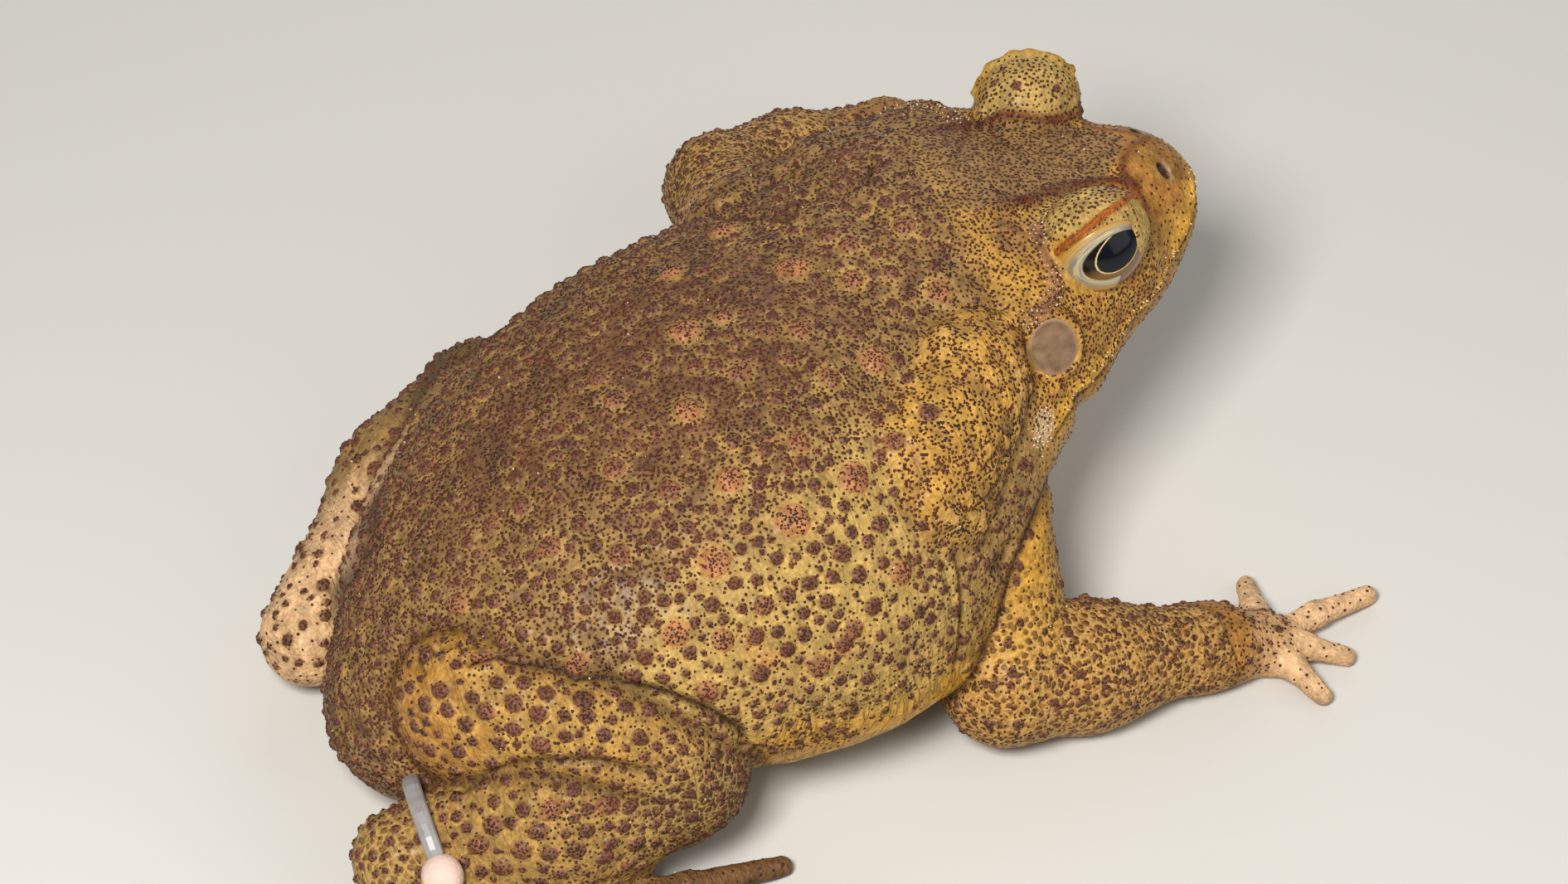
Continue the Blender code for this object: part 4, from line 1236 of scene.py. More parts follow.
def guidesOf(points, kinds, d):
    # what the skin's pattern follows: mm along the body or limb, how wrinkled, how netted
    along = points[:, 0] + 2.5 * grain(points, 12.0, 4.0)
    wrinkled = kinds["trunk"] * (0.25 + 0.75 * smooth(30, 18, points[:, 2])) + 0.35 * kinds["gland"]
    netted = np.zeros(len(points))
    for side in ("right", "left"):
        arm, leg = arms[side], legs[side]
        elbow, wrist = np.array(arm["elbow"][0]), np.array(arm["wrist"][0])
        shoulder = np.array(arm["shoulder"][0])
        fromWrist = np.linalg.norm(points - wrist, axis=1)
        fromElbow = np.linalg.norm(points - elbow, axis=1)
        way = (elbow - shoulder) / np.linalg.norm(elbow - shoulder)
        upper, lower = d["upper arm " + side], d["forearm " + side]
        onArm = (kinds["arm"] + kinds["hand"]) * (upper + lower < 60)
        alongArm = np.where(upper < lower, (points - shoulder) @ way, fromWrist)
        along = np.where(onArm > 0.5, alongArm, along)
        wrinkled = wrinkled + onArm * (0.4 + 0.6 * smooth(13, 6, fromWrist))
        nearElbow = smooth(19, 9, fromElbow) if side == "right" else smooth(24, 12, fromElbow)
        nearWrist = smooth(34, 24, fromWrist) * smooth(2, 8, fromWrist)
        netted = np.maximum(netted, onArm * np.maximum(nearElbow, nearWrist))
        knee, heel = np.array(leg["knee"][0]), np.array(leg["heel"][0])
        fromKnee = np.linalg.norm(points - knee, axis=1) - leg["knee"][1]
        fromHeel = np.linalg.norm(points - heel, axis=1) - leg["heel"][1]
        onLeg = kinds["leg"] + kinds["foot"]
        bends = np.maximum(smooth(4, -1, fromKnee), smooth(3, 0, fromHeel) * 0.8)
        netted = np.maximum(netted, onLeg * bends)
        wrinkled = wrinkled + onLeg * 0.2
    netted = netted * (1 - 0.8 * (points[:, 1] > 8) * (points[:, 0] < 0))
    netted = netted * (1 - smooth(55, 47, points[:, 1] + 0.25 * (points[:, 0] - 45)) * (points[:, 1] > 20))
    wrinkled = wrinkled + kinds["head"] * 0.15
    return np.stack((along, np.clip(wrinkled, 0, 1), np.clip(netted, 0, 1)), axis=1)


# Skin of a live toad: granular leather with a damp film, so it has a broad soft gloss and fine glints
skinLooks = {
    "roughness": (0.46, 0.66),
    "specular": 0.16,
    "coat": 0.06,
    "coatRoughness": 0.2,
    "mottle": 2.2,        # mm between cloudy patches
    "grit": 0.42,         # mm between the finest grains
    "granule": 0.62,      # mm between granules
    "wrinkle": 0.75,      # mm between wrinkles, which run five times as long
    "cell": 1.05,         # mm between the dark cells of netted skin
    "mottleStrength": 0.32,
    "gritStrength": 0.18,
    "wrinkleShadeStrength": 0.55,
    "speck": 0.6,         # mm between the dark specks
    "speckTone": "#45200f",
    "cellTone": "#5c3828",
    "netTone": "#c8a662",
    "bump": 0.00036,
}


def skinMaterial():
    looks = skinLooks
    material, tree = newMaterial("toad skin")
    place = addNode(tree, "TexCoord").outputs["Object"]
    tone = addNode(tree, "Attribute", {"attribute_name": "tone"}).outputs["Color"]
    guide = addNode(tree, "SeparateXYZ", inputs={
        "Vector": addNode(tree, "Attribute", {"attribute_name": "guide"}).outputs["Vector"]})
    mottle = addNode(tree, "TexNoise", inputs={
        "Vector": place, "Scale": 1000 / looks["mottle"], "Detail": 4.0, "Roughness": 0.6})
    grit = addNode(tree, "TexNoise", inputs={
        "Vector": place, "Scale": 1000 / looks["grit"], "Detail": 1.0})
    granule = addNode(tree, "TexVoronoi", inputs={
        "Vector": place, "Scale": 1000 / looks["granule"], "Randomness": 1.0})

    # wrinkles: noise squeezed along the body or limb and drawn out across it
    across = addNode(tree, "VectorMath", {"operation": "SCALE"}, {
        0: place, "Scale": 1000 / (5 * looks["wrinkle"])})
    across = addNode(tree, "SeparateXYZ", inputs={"Vector": across.outputs[0]})
    pitch = addNode(tree, "Math", {"operation": "MULTIPLY"}, {
        0: guide.outputs["X"], 1: 1 / looks["wrinkle"]})
    drawn = addNode(tree, "CombineXYZ", inputs={
        "X": pitch.outputs[0], "Y": across.outputs["Y"], "Z": across.outputs["Z"]})
    waves = addNode(tree, "TexNoise", inputs={
        "Vector": drawn.outputs[0], "Scale": 0.6, "Detail": 2.0, "Distortion": 0.4})
    centred = addNode(tree, "Math", {"operation": "SUBTRACT"}, {0: waves.outputs["Fac"], 1: 0.5})
    centred = addNode(tree, "Math", {"operation": "ABSOLUTE"}, {0: centred.outputs[0]})
    lines = addNode(tree, "MapRange", inputs={
        "Value": centred.outputs[0], "From Min": 0.0, "From Max": 0.07, "To Min": 1.0, "To Max": 0.0})
    wrinkles = addNode(tree, "Math", {"operation": "MULTIPLY"}, {
        0: lines.outputs["Result"], 1: guide.outputs["Y"]})

    # netted skin: small dark cells between pale lines
    wobble = addNode(tree, "VectorMath", {"operation": "SCALE"}, {
        0: mottle.outputs["Color"], "Scale": 0.0008})
    moved = addNode(tree, "VectorMath", {"operation": "ADD"}, {0: place, 1: wobble.outputs[0]})
    cells = addNode(tree, "TexVoronoi", inputs={
        "Vector": moved.outputs[0], "Scale": 1000 / looks["cell"], "Randomness": 0.8})
    edges = addNode(tree, "TexVoronoi", {"feature": "DISTANCE_TO_EDGE"}, {
        "Vector": moved.outputs[0], "Scale": 1000 / looks["cell"], "Randomness": 0.8})
    middle = addNode(tree, "MapRange", inputs={
        "Value": cells.outputs["Distance"], "From Min": 0.26, "From Max": 0.44, "To Min": 1.0, "To Max": 0.0})
    net = addNode(tree, "MapRange", inputs={
        "Value": edges.outputs["Distance"], "From Min": 0.03, "From Max": 0.16, "To Min": 1.0, "To Max": 0.0})
    middle = addNode(tree, "Math", {"operation": "MULTIPLY"}, {
        0: middle.outputs["Result"], 1: guide.outputs["Z"]})
    net = addNode(tree, "Math", {"operation": "MULTIPLY"}, {
        0: net.outputs["Result"], 1: guide.outputs["Z"]})

    cloud = addNode(tree, "MapRange", inputs={
        "Value": mottle.outputs["Fac"], "From Min": 0.3, "From Max": 0.7,
        "To Min": 1 - looks["mottleStrength"], "To Max": 1 + looks["mottleStrength"]})
    speck = addNode(tree, "MapRange", inputs={
        "Value": grit.outputs["Fac"], "From Min": 0.3, "From Max": 0.7,
        "To Min": 1 - looks["gritStrength"], "To Max": 1 + looks["gritStrength"]})
    strength = addNode(tree, "Math", {"operation": "MULTIPLY"}, {
        0: cloud.outputs["Result"], 1: speck.outputs["Result"]})
    clouded = addNode(tree, "VectorMath", {"operation": "SCALE"}, {0: tone, "Scale": strength.outputs[0]})
    # painted shade: the colour is darkened along the wrinkle grooves that the bump sinks
    darker = addNode(tree, "VectorMath", {"operation": "MULTIPLY"}, {
        0: clouded.outputs[0], 1: (0.5, 0.42, 0.32)})
    wrinkleShadeShare = addNode(tree, "Math", {"operation": "MULTIPLY"}, {
        0: wrinkles.outputs[0], 1: looks["wrinkleShadeStrength"]})
    colour = addNode(tree, "Mix", {"data_type": "RGBA"}, {
        0: wrinkleShadeShare.outputs[0], 6: clouded.outputs[0], 7: darker.outputs[0]})
    netShare = addNode(tree, "Math", {"operation": "MULTIPLY"}, {0: net.outputs[0], 1: 0.5})
    colour = addNode(tree, "Mix", {"data_type": "RGBA"}, {
        0: netShare.outputs[0], 6: colour.outputs[2], 7: colourOf(looks["netTone"])})
    cellShare = addNode(tree, "Math", {"operation": "MULTIPLY"}, {0: middle.outputs[0], 1: 0.75})
    colour = addNode(tree, "Mix", {"data_type": "RGBA"}, {
        0: cellShare.outputs[0], 6: colour.outputs[2], 7: colourOf(looks["cellTone"])})

    # dark specks between the horny tips, as many as the place asks for
    seeds = addNode(tree, "TexVoronoi", inputs={
        "Vector": place, "Scale": 1000 / looks["speck"], "Randomness": 1.0})
    thick = addNode(tree, "Attribute", {"attribute_name": "specks"})
    drawnLot = addNode(tree, "SeparateColor", inputs={"Color": seeds.outputs["Color"]})
    chosen = addNode(tree, "Math", {"operation": "LESS_THAN"}, {
        0: drawnLot.outputs["Red"], 1: thick.outputs["Fac"]})
    spot = addNode(tree, "MapRange", inputs={
        "Value": seeds.outputs["Distance"],
        "From Min": 0.27, "From Max": 0.38, "To Min": 0.92, "To Max": 0.0})
    spots = addNode(tree, "Math", {"operation": "MULTIPLY"}, {
        0: chosen.outputs[0], 1: spot.outputs["Result"]})
    colour = addNode(tree, "Mix", {"data_type": "RGBA"}, {
        0: spots.outputs[0], 6: colour.outputs[2], 7: colourOf(looks["speckTone"])})

    dip = addNode(tree, "Math", {"operation": "MULTIPLY_ADD"}, {
        0: wrinkles.outputs[0], 1: -0.9, 2: middle.outputs[0]})
    mound = addNode(tree, "Math", {"operation": "MULTIPLY_ADD"}, {
        0: granule.outputs["Distance"], 1: -0.55, 2: dip.outputs[0]})
    mound = addNode(tree, "Math", {"operation": "MULTIPLY_ADD"}, {
        0: spots.outputs[0], 1: 0.6, 2: mound.outputs[0]})
    height = addNode(tree, "Math", {"operation": "MULTIPLY_ADD"}, {
        0: grit.outputs["Fac"], 1: 0.35, 2: mound.outputs[0]})
    bump = addNode(tree, "Bump", inputs={
        "Height": height.outputs[0], "Distance": looks["bump"], "Strength": 0.85})
    rough = addNode(tree, "MapRange", inputs={
        "Value": mottle.outputs["Fac"], "To Min": looks["roughness"][0], "To Max": looks["roughness"][1]})
    shader = addNode(tree, "BsdfPrincipled", inputs={
        "Base Color": colour.outputs[2],
        "Roughness": rough.outputs["Result"],
        "Specular IOR Level": looks["specular"],
        "Coat Weight": looks["coat"],
        "Coat Roughness": looks["coatRoughness"],
        "Normal": bump.outputs["Normal"],
    })
    addNode(tree, "OutputMaterial", inputs={"Surface": shader.outputs[0]})
    return material


def makeSkin():
    skin, points, normals = growSkin()
    print("skin grown:", len(points), "points")
    tree = treeOf(skin.data)
    kinds, d, local = kindsOf(points)
    warts = placeWarts(tree, points, normals, kinds)
    pores = placePores(points, kinds)
    share, size = wartShares(points, *warts)
    folds = layFolds(tree)
    sunk, _ = foldsAt(points, d, folds)
    lifted = points + normals * liftOf(points, kinds, share, size, sunk, pores)[:, None]
    lifted = seatDrums(lifted)
    lifted[:, 2] = np.maximum(lifted[:, 2], 0)
    setPoints(skin.data, lifted)
    fewer = skin.modifiers.new("fewer", "DECIMATE")
    skin.data.calc_loop_triangles()
    fewer.ratio = min(1.0, skinSizes["triangles"] / len(skin.data.loop_triangles))
    fewer.use_collapse_triangulate = True
    mesh = applyModifiers(skin)
    mesh.shade_smooth()
    points = pointsOf(mesh)
    for _ in range(2):  # the pattern is laid on the smooth shape, under the lifts and folds
        here, normals = slopeOf(skinDistance, points)
        points = points - here[:, None] * normals
    kinds, d, local = kindsOf(points)
    share, size = wartShares(points, *warts)
    # the painted shade of the folds and creases
    _, dark = foldsAt(points, d, folds)
    tones = paint(points, normals, kinds, d, local, share, size, dark, pores)
    layOn(mesh, "tone", "FLOAT_COLOR", tones)
    layOn(mesh, "guide", "FLOAT_VECTOR", guidesOf(points, kinds, d))
    layOn(mesh, "specks", "FLOAT", speckShares(points, normals, warts, pores))
    mesh.materials.clear()
    mesh.materials.append(skinMaterial())
    print("skin dressed:", len(mesh.polygons), "triangles")
    return skin, warts, pores, tones


def flatSkinPlaces(skin):
    # an unwrap of the skin's own shape, made on a thinned copy of it, and its scale per mm
    copy = newObject("unwrapped", skin.data.copy())
    fewer = copy.modifiers.new("fewer", "DECIMATE")
    fewer.ratio = skinSizes["unwrapShare"]
    applyModifiers(copy)
    bpy.context.view_layer.objects.active = copy
    copy.select_set(True)
    bpy.ops.object.mode_set(mode="EDIT")
    bpy.ops.mesh.select_all(action="SELECT")
    bpy.ops.uv.smart_project(angle_limit=math.radians(66), island_margin=0.004)
    bpy.ops.object.mode_set(mode="OBJECT")
    mesh = copy.data
    flat = np.empty(len(mesh.loops) * 2)
    mesh.uv_layers.active.data.foreach_get("uv", flat)
    flat = flat.reshape(-1, 2)
    faces = [tuple(face.vertices) for face in mesh.polygons]
    tree = BVHTree.FromPolygons([v.co for v in mesh.vertices], faces)
    middles = [flat[list(face.loop_indices)].mean(0) for face in mesh.polygons]
    area = 0.0
    for face in mesh.polygons:
        a, b, c = flat[list(face.loop_indices)[:3]]
        area += abs((b[0] - a[0]) * (c[1] - a[1]) - (b[1] - a[1]) * (c[0] - a[0])) / 2
    scale = math.sqrt(area / sum(face.area for face in mesh.polygons))
    bpy.data.objects.remove(copy, do_unlink=True)
    return tree, middles, scale


def turnedShape(profile, sides):
    # points and triangles of a small shape turned round its own axis
    shape = spunShape(profile, sides, 0.0001)
    bmesh.ops.triangulate(shape, faces=shape.faces)
    faceOutwards(shape, Vector((0, 0, 1)))
    corners = np.array([tuple(v.co) for v in shape.verts])
    faces = np.array([[v.index for v in face.verts] for face in shape.faces])
    shape.free()
    return corners, faces


def joinedMesh(name, places, faces, flat):
    # many copies of one small shape in one mesh, each with its own patch of the bake map
    count, size = places.shape[:2]
    shift = np.arange(count)[:, None, None] * size
    corners = (faces[None] + shift).reshape(-1, 3)
    mesh = bpy.data.meshes.new(name)
    mesh.vertices.add(count * size)
    mesh.vertices.foreach_set("co", (places * mm).ravel())
    mesh.loops.add(corners.size)
    mesh.loops.foreach_set("vertex_index", corners.ravel())
    mesh.polygons.add(len(corners))
    mesh.polygons.foreach_set("loop_start", np.arange(0, corners.size, 3))
    mesh.update(calc_edges=True)
    layer = mesh.uv_layers.new(name="OFBake")
    layer.data.foreach_set("uv", np.clip(flat, 0, 1).reshape(-1, 2)[corners.ravel()].ravel())
    mesh.shade_smooth()
    return newObject(name, mesh)


# Warts: low domes on the skin, the largest flatter and lighter, the small ones steeper and darker
wartSizes = {
    "sides": 12,
    "profile": ((1.16, -0.18), (1.0, 0.14), (0.82, 0.5), (0.58, 0.8), (0.3, 0.96), (0.0, 1.0)),
    "rise": (0.38, 0.25),
    "stretch": (1.08, 1.28),
    "perPiece": 1700,
}


def limbWay(d):
    # the way along the nearest limb, or none on the trunk
    ways = {
        "upper arm ": ("shoulder", "elbow"), "forearm ": ("elbow", "wrist"),
        "thigh ": ("hip", "knee"), "shank ": ("knee", "heel"),
    }
    nearest = min(d, key=lambda name: d[name][0])
    for start, (first, last) in ways.items():
        if nearest.startswith(start):
            limb = (arms if "arm" in start else legs)[nearest[len(start):]]
            return Vector(np.array(limb[last][0], float) - np.array(limb[first][0], float)).normalized()
    return None


def makeWarts(skin, warts, tones, unwrapped):
    tree = treeOf(skin.data)
    corners = cornersOf(skin.data)
    template, faces = turnedShape(wartSizes["profile"], wartSizes["sides"])
    ring = np.hypot(template[:, 0], template[:, 1])
    angle = np.arctan2(template[:, 1], template[:, 0])
    flatTree, middles, scale = unwrapped
    rng = np.random.default_rng(8)
    small, middling, big = [np.array(toneOf(name)) for name in ("wartSmall", "wartMiddle", "wartBig")]
    places, colours, flat = [], [], []
    for centre, radius in zip(*warts):
        spot, way, _, _ = tree.find_nearest(Vector(centre))
        limb = limbWay(partDistances(np.array(centre)[None]))
        aim = limb or Vector(rng.normal(size=3))
        across = (aim - way * aim.dot(way)).normalized()
        down = way.cross(across)
        largeness = float(smooth(0.9, 1.9, radius))
        rise = radius * (wartSizes["rise"][0] + (wartSizes["rise"][1] - wartSizes["rise"][0]) * largeness)
        stretch = math.sqrt(wartSizes["stretch"][1 if limb else 0])
        turns = rng.uniform(0, math.tau, 2)
        wobble = 1 + 0.09 * np.sin(2 * angle + turns[0]) + 0.06 * np.sin(3 * angle + turns[1])
        u = template[:, 0] * radius * stretch * wobble
        v = template[:, 1] * radius / stretch * wobble
        feet = [tree.find_nearest(spot + across * a + down * b) for a, b in zip(u.tolist(), v.tolist())]
        uneven = 1 + 0.1 * rng.normal(size=len(template)) * (ring > 0.2) * (ring < 0.9)
        lift = template[:, 2] * rise * uneven
        places.append(np.array([tuple(foot[0]) for foot in feet]) + lift[:, None] * np.array(way))
        under = tones[corners[[foot[2] for foot in feet]][:, 0], :3]
        if largeness < 0.5:
            own = small + (middling - small) * largeness * 2
        else:
            own = middling + (big - middling) * (largeness * 2 - 1)
        own = own * rng.uniform(0.85, 1.15) * (1 + 0.12 * rng.normal(size=(len(template), 1)))
        own = own * 0.8 + under * 0.2
        outer = smooth(0.9, 1.08, ring)[:, None]
        colours.append(own * (1 - outer) + under * outer)
        middle = middles[flatTree.find_nearest(spot)[2]]
        flat.append(middle + template[:, :2] * radius * scale)
    made = []
    size = wartSizes["perPiece"]
    for number, start in enumerate(range(0, len(places), size)):
        part = slice(start, start + size)
        item = joinedMesh("warts_%d" % (number + 1), np.array(places[part]), faces, np.array(flat[part]))
        own = np.clip(np.concatenate(colours[part]), 0.004, 1)
        own = np.concatenate((own, np.ones((len(own), 1))), axis=1)
        layOn(item.data, "tone", "FLOAT_COLOR", own)
        item.data.materials.append(skin.data.materials[0])
        made.append(item)
    print("wart domes:", sum(len(item.data.polygons) for item in made), "triangles")
    return made


# Horny tips on and between the warts, and the pale spines of the lips, in mm
tipSizes = {
    "onWartSpacing": 0.52,
    "wartTip": (0.15, 0.25),
    "strewnTip": (0.18, 0.29),
    "darkProfile": ((1.0, -0.4), (0.72, 0.22), (0.0, 0.42)),
    "paleProfile": ((1.0, -0.5), (0.6, 0.9), (0.0, 1.8)),
    "sides": 6,
    "patch": 0.003,
    "goldenTurn": 2.39996,
    "lidTip": (0.18, 0.3),
    "lidRows": 9,
    "lidStep": 0.8,
    "lidSpacing": 0.85,
    "perPiece": 10000,
    "tried": 330000,
}


def scatter(mesh, count, rng):
    # random places on a mesh, evenly over its area, and which way each faces
    a, b, c = pointsOf(mesh)[cornersOf(mesh)].transpose(1, 0, 2)
    faces = np.cross(b - a, c - a)
    area = np.linalg.norm(faces, axis=1)
    chosen = rng.choice(len(area), count, p=area / area.sum())
    u, v = rng.random((2, count, 1))
    over = u + v > 1
    u, v = np.where(over, 1 - u, u), np.where(over, 1 - v, v)
    places = a[chosen] + u * (b - a)[chosen] + v * (c - a)[chosen]
    return places, (faces / area[:, None])[chosen]


def thinned(points, gap, rng):
    # one place for each cell of two shifted grids, so that they stand about a gap apart
    order = rng.permutation(len(points))
    for shift in (0.0, 0.5):
        cells = np.floor(points[order] / gap + shift).astype(int)
        order = order[np.unique(cells, axis=0, return_index=True)[1]]
        order = rng.permutation(order)
    return order


def tipGaps(points, normals, warts, pores):
    # how far apart the strewn tips stand at each place; 0 where there are none
    kinds, d, local = kindsOf(points)
    share, _ = wartShares(points, *warts)
    x, y, z = points.T
    hx, hy, hz = local[:, 0], np.abs(local[:, 1]), local[:, 2]
    blotch = grain(points, 3.4, 6.0)
    poreGap = poreGaps(points, kinds, pores)
    gap = np.full(len(points), 1.1)
    aside = np.abs(y - (-2 + (x + 40) * 0.15))
    upper = (kinds["trunk"] > 0.5) & (aside < 26)
    gap[upper] = 0.8
    gap[upper & (blotch > 0.0)] = 0.62
    gap[(kinds["trunk"] > 0.5) & (x > 8) & (y < -12) & (z < 21)] = 2.6
    head = kinds["head"] > 0.5
    gap[head] = 0.64
    gap[head & (hy < 10) & (hz > 2)] = 0.56
    snoutLine = headSizes["snoutLine"] - np.abs(local[:, 1] - crownLean)
    gap[head & (hx > snoutLine) & (hx > 30)] = 1.3
    gap[head & (hz < -5)] = 1.1
    gland = kinds["gland"] > 0.5
    gap[gland] = 0.85
    gap[gland & (poreGap < 1.0)] = 1.4
    gap[gland & (np.abs(poreGap - 1.45) < 0.3)] = 0.5
    arm = kinds["arm"] > 0.5
    gap[arm] = 0.95
    gap[arm & (z > 16) & (y < 0)] = 1.5
    leg = kinds["leg"] > 0.5
    gap[leg] = 1.0
    gap[leg & (x < -33) & (y < 4)] = 2.4
    gap[(leg | (kinds["foot"] > 0.5)) & (y > 8) & (x < -8)] = 2.2
    gap[(kinds["hand"] > 0.5) | (kinds["foot"] > 0.5)] = 1.7
    onLid = head & (d["lids"] < d["skull"]) & (hz > 0)
    bare = (share < 1.12) | (normals[:, 2] < -0.35) | (z < 2.2) | onLid
    for side in (1, -1):
        bare |= np.linalg.norm(points - drumFrame(side)[0], axis=1) < drumSizes["radius"] + 0.5
        bare |= overEye(points, side)
        bare |= np.linalg.norm(local - np.array(sided(nostrilSizes["centre"], side)), axis=1) < 2.6
    gap[bare] = 0
    return gap


def speckShares(points, normals, warts, pores):
    # how thickly the skin's own dark specks stand, 0 to 1: thick where the tips are close
    gap = tipGaps(points, normals, warts, pores)
    shares = np.interp(gap, (0, 0.01, 0.45, 0.7, 1.1, 1.8), (0.0, 0.75, 0.75, 0.52, 0.2, 0.0))
    kinds, d, local = kindsOf(points)
    onLid = (kinds["head"] > 0.5) & (d["lids"] < d["skull"]) & (local[:, 2] > 0)
    return np.where(onLid & (headLineGap(points, "brow") > 0.9), 0.5, shares)


def onWartTips(tree, warts, rng):
    spots, ways, radii = [], [], []
    spacing = tipSizes["onWartSpacing"]
    for centre, radius in zip(*warts):
        spot, way, _, _ = tree.find_nearest(Vector(centre))
        across = way.orthogonal().normalized()
        down = way.cross(across)
        count = max(4, round(math.pi * radius**2 / (0.87 * spacing**2)))
        start = rng.uniform(0, math.tau)
        for number in range(count):
            away = radius * 0.94 * ((number + 0.5) / count) ** 0.62 + rng.normal() * 0.06
            angle = start + number * tipSizes["goldenTurn"] + rng.normal() * 0.25
            aim = spot + across * math.cos(angle) * away + down * math.sin(angle) * away + way * 2
            hit, normal, _, _ = tree.ray_cast(aim, -way, 4)
            if hit:
                spots.append(tuple(hit))
                ways.append(tuple(normal))
                radii.append(rng.uniform(*tipSizes["wartTip"]))
    return np.array(spots), np.array(ways), np.array(radii)


def lidTips(tree, rng):
    # rows of tips that follow the rim of each upper lid
    spots, ways, radii = [], [], []
    down = Vector(-headAxes[:, 2])
    centre = headSizes["lid"][0]
    for side in (1, -1):
        for row in range(tipSizes["lidRows"]):
            reach = 0.4 + tipSizes["lidStep"] * row
            count = max(4, int(math.tau * reach / tipSizes["lidSpacing"]))
            for number in range(count):
                angle = (number + rng.uniform(-0.25, 0.25)) / count * math.tau
                ahead = centre[0] + reach * math.cos(angle)
                place = (ahead, centre[1] - 0.8 + reach * 0.8 * math.sin(angle), 20)
                hit, normal, _, _ = tree.ray_cast(Vector(inHead(besideEye(place, side))), down, 15)
                if hit:
                    spots.append(tuple(hit))
                    ways.append(tuple(normal))
                    radii.append(rng.uniform(*tipSizes["lidTip"]))
    spots, ways, radii = np.array(spots), np.array(ways), np.array(radii)
    d = partDistances(spots)
    kept = (d["lids"] < d["skull"] + 0.3) & (headLineGap(spots, "brow") > 0.8)
    for side in (1, -1):
        kept &= ~overEye(spots, side)
    return spots[kept], ways[kept], radii[kept]


def lineTips(tree, name, spacing, spread, radius, rng):
    # tips along a line of the head
    spots, ways, radii = [], [], []
    headLineGap(np.zeros((1, 3)), name)
    for line in laidLines[name]:
        for start, end in zip(line[:-1], line[1:]):
            steps = max(1, round(float(np.linalg.norm(end - start)) / spacing))
            for step in range(steps):
                aim = start + (end - start) * (step + rng.random()) / steps + rng.normal(size=3) * spread
                hit, normal, _, _ = tree.find_nearest(Vector(aim))
                spots.append(tuple(hit))
                ways.append(tuple(normal))
                radii.append(rng.uniform(*radius))
    return np.array(spots), np.array(ways), np.array(radii)


def makeTips(name, spots, ways, radii, profile, material, unwrapped):
    template, faces = turnedShape(profile, tipSizes["sides"])
    flatTree, middles, _ = unwrapped
    helper = np.where(np.abs(ways[:, 2:]) < 0.9, (0, 0, 1.0), (1.0, 0, 0))
    across = np.cross(ways, helper)
    across /= np.linalg.norm(across, axis=1, keepdims=True)
    down = np.cross(ways, across)
    made = []
    size = tipSizes["perPiece"]
    for number, start in enumerate(range(0, len(spots), size)):
        part = slice(start, start + size)
        axes = np.stack((across[part], down[part], ways[part]), axis=1)
        places = spots[part, None] + np.einsum("kc,ncd->nkd", template, axes) * radii[part, None, None]
        middle = np.array([middles[flatTree.find_nearest(Vector(spot))[2]] for spot in spots[part]])
        flat = middle[:, None] + template[None, :, :2] * tipSizes["patch"] / 2
        item = joinedMesh("%s_%d" % (name, number + 1), places, faces, flat)
        item.data.materials.append(material)
        made.append(item)
    return made


def darkTipMaterial():
    # horn: the dark red-brown keratin tips of the warts, dull with a faint shine
    return cloudedMaterial(
        "horny wart tips", 5.0, 3.0, ("#260d07", "#4c1b0c"), {"Roughness": 0.4, "Specular IOR Level": 0.3},
        contrast=(0.35, 0.65))


def paleTipMaterial():
    # thin pale horn: cream spines, a little shiny
    return cloudedMaterial("pale horny spines", 2.0, 2.0, ("#b08a60", "#e2d3b6"), {"Roughness": 0.4})


def dressWithTips(skin, domes, warts, pores, unwrapped):
    rng = np.random.default_rng(5)
    skinTree = treeOf(skin.data)
    both, faces = [pointsOf(skin.data)], [cornersOf(skin.data)]
    for item in domes:
        faces.append(cornersOf(item.data) + sum(len(points) for points in both))
        both.append(pointsOf(item.data) / mm)
    both, faces = np.concatenate(both), np.concatenate(faces)
    tree = BVHTree.FromPolygons(both.tolist(), faces.tolist())
    groups = [onWartTips(tree, warts, rng), lidTips(skinTree, rng)]
    groups.append(lineTips(skinTree, "brow", 0.6, 0.15, (0.15, 0.24), rng))
    places, ways = scatter(skin.data, tipSizes["tried"], rng)
    gaps = tipGaps(places, ways, warts, pores)
    for gap in np.unique(gaps[gaps > 0]):
        chosen = np.flatnonzero(gaps == gap)
        chosen = chosen[thinned(places[chosen], gap, rng)]
        groups.append((places[chosen], ways[chosen], rng.uniform(*tipSizes["strewnTip"], len(chosen))))
    spots, facing, radii = [np.concatenate(parts) for parts in zip(*groups)]
    print("horny tips:", len(spots))
    profile = tipSizes["darkProfile"]
    made = makeTips("horny_tips", spots, facing, radii, profile, darkTipMaterial(), unwrapped)

    kinds, _, local = kindsOf(places)
    jaw = mirroredGap(local, headSizes["jawGland"]) < 2.8
    ridge = (headLineGap(places, "postocular") < 1.4) & (rng.random(len(places)) < 0.25)
    strewn = (ways[:, 2] > 0.1) & (rng.random(len(places)) < 0.0012) & (kinds["hand"] < 0.1)
    pale = np.flatnonzero(jaw | ridge | strewn)
    pale = pale[thinned(places[pale], 0.7, rng)]
    groups = [lineTips(skinTree, "lip", 0.65, 0.5, (0.09, 0.18), rng)]
    groups.append((places[pale], ways[pale], rng.uniform(0.1, 0.17, len(pale))))
    spots, facing, radii = [np.concatenate(parts) for parts in zip(*groups)]
    print("pale spines:", len(spots))
    profile = tipSizes["paleProfile"]
    made += makeTips("pale_spines", spots, facing, radii, profile, paleTipMaterial(), unwrapped)
    return made


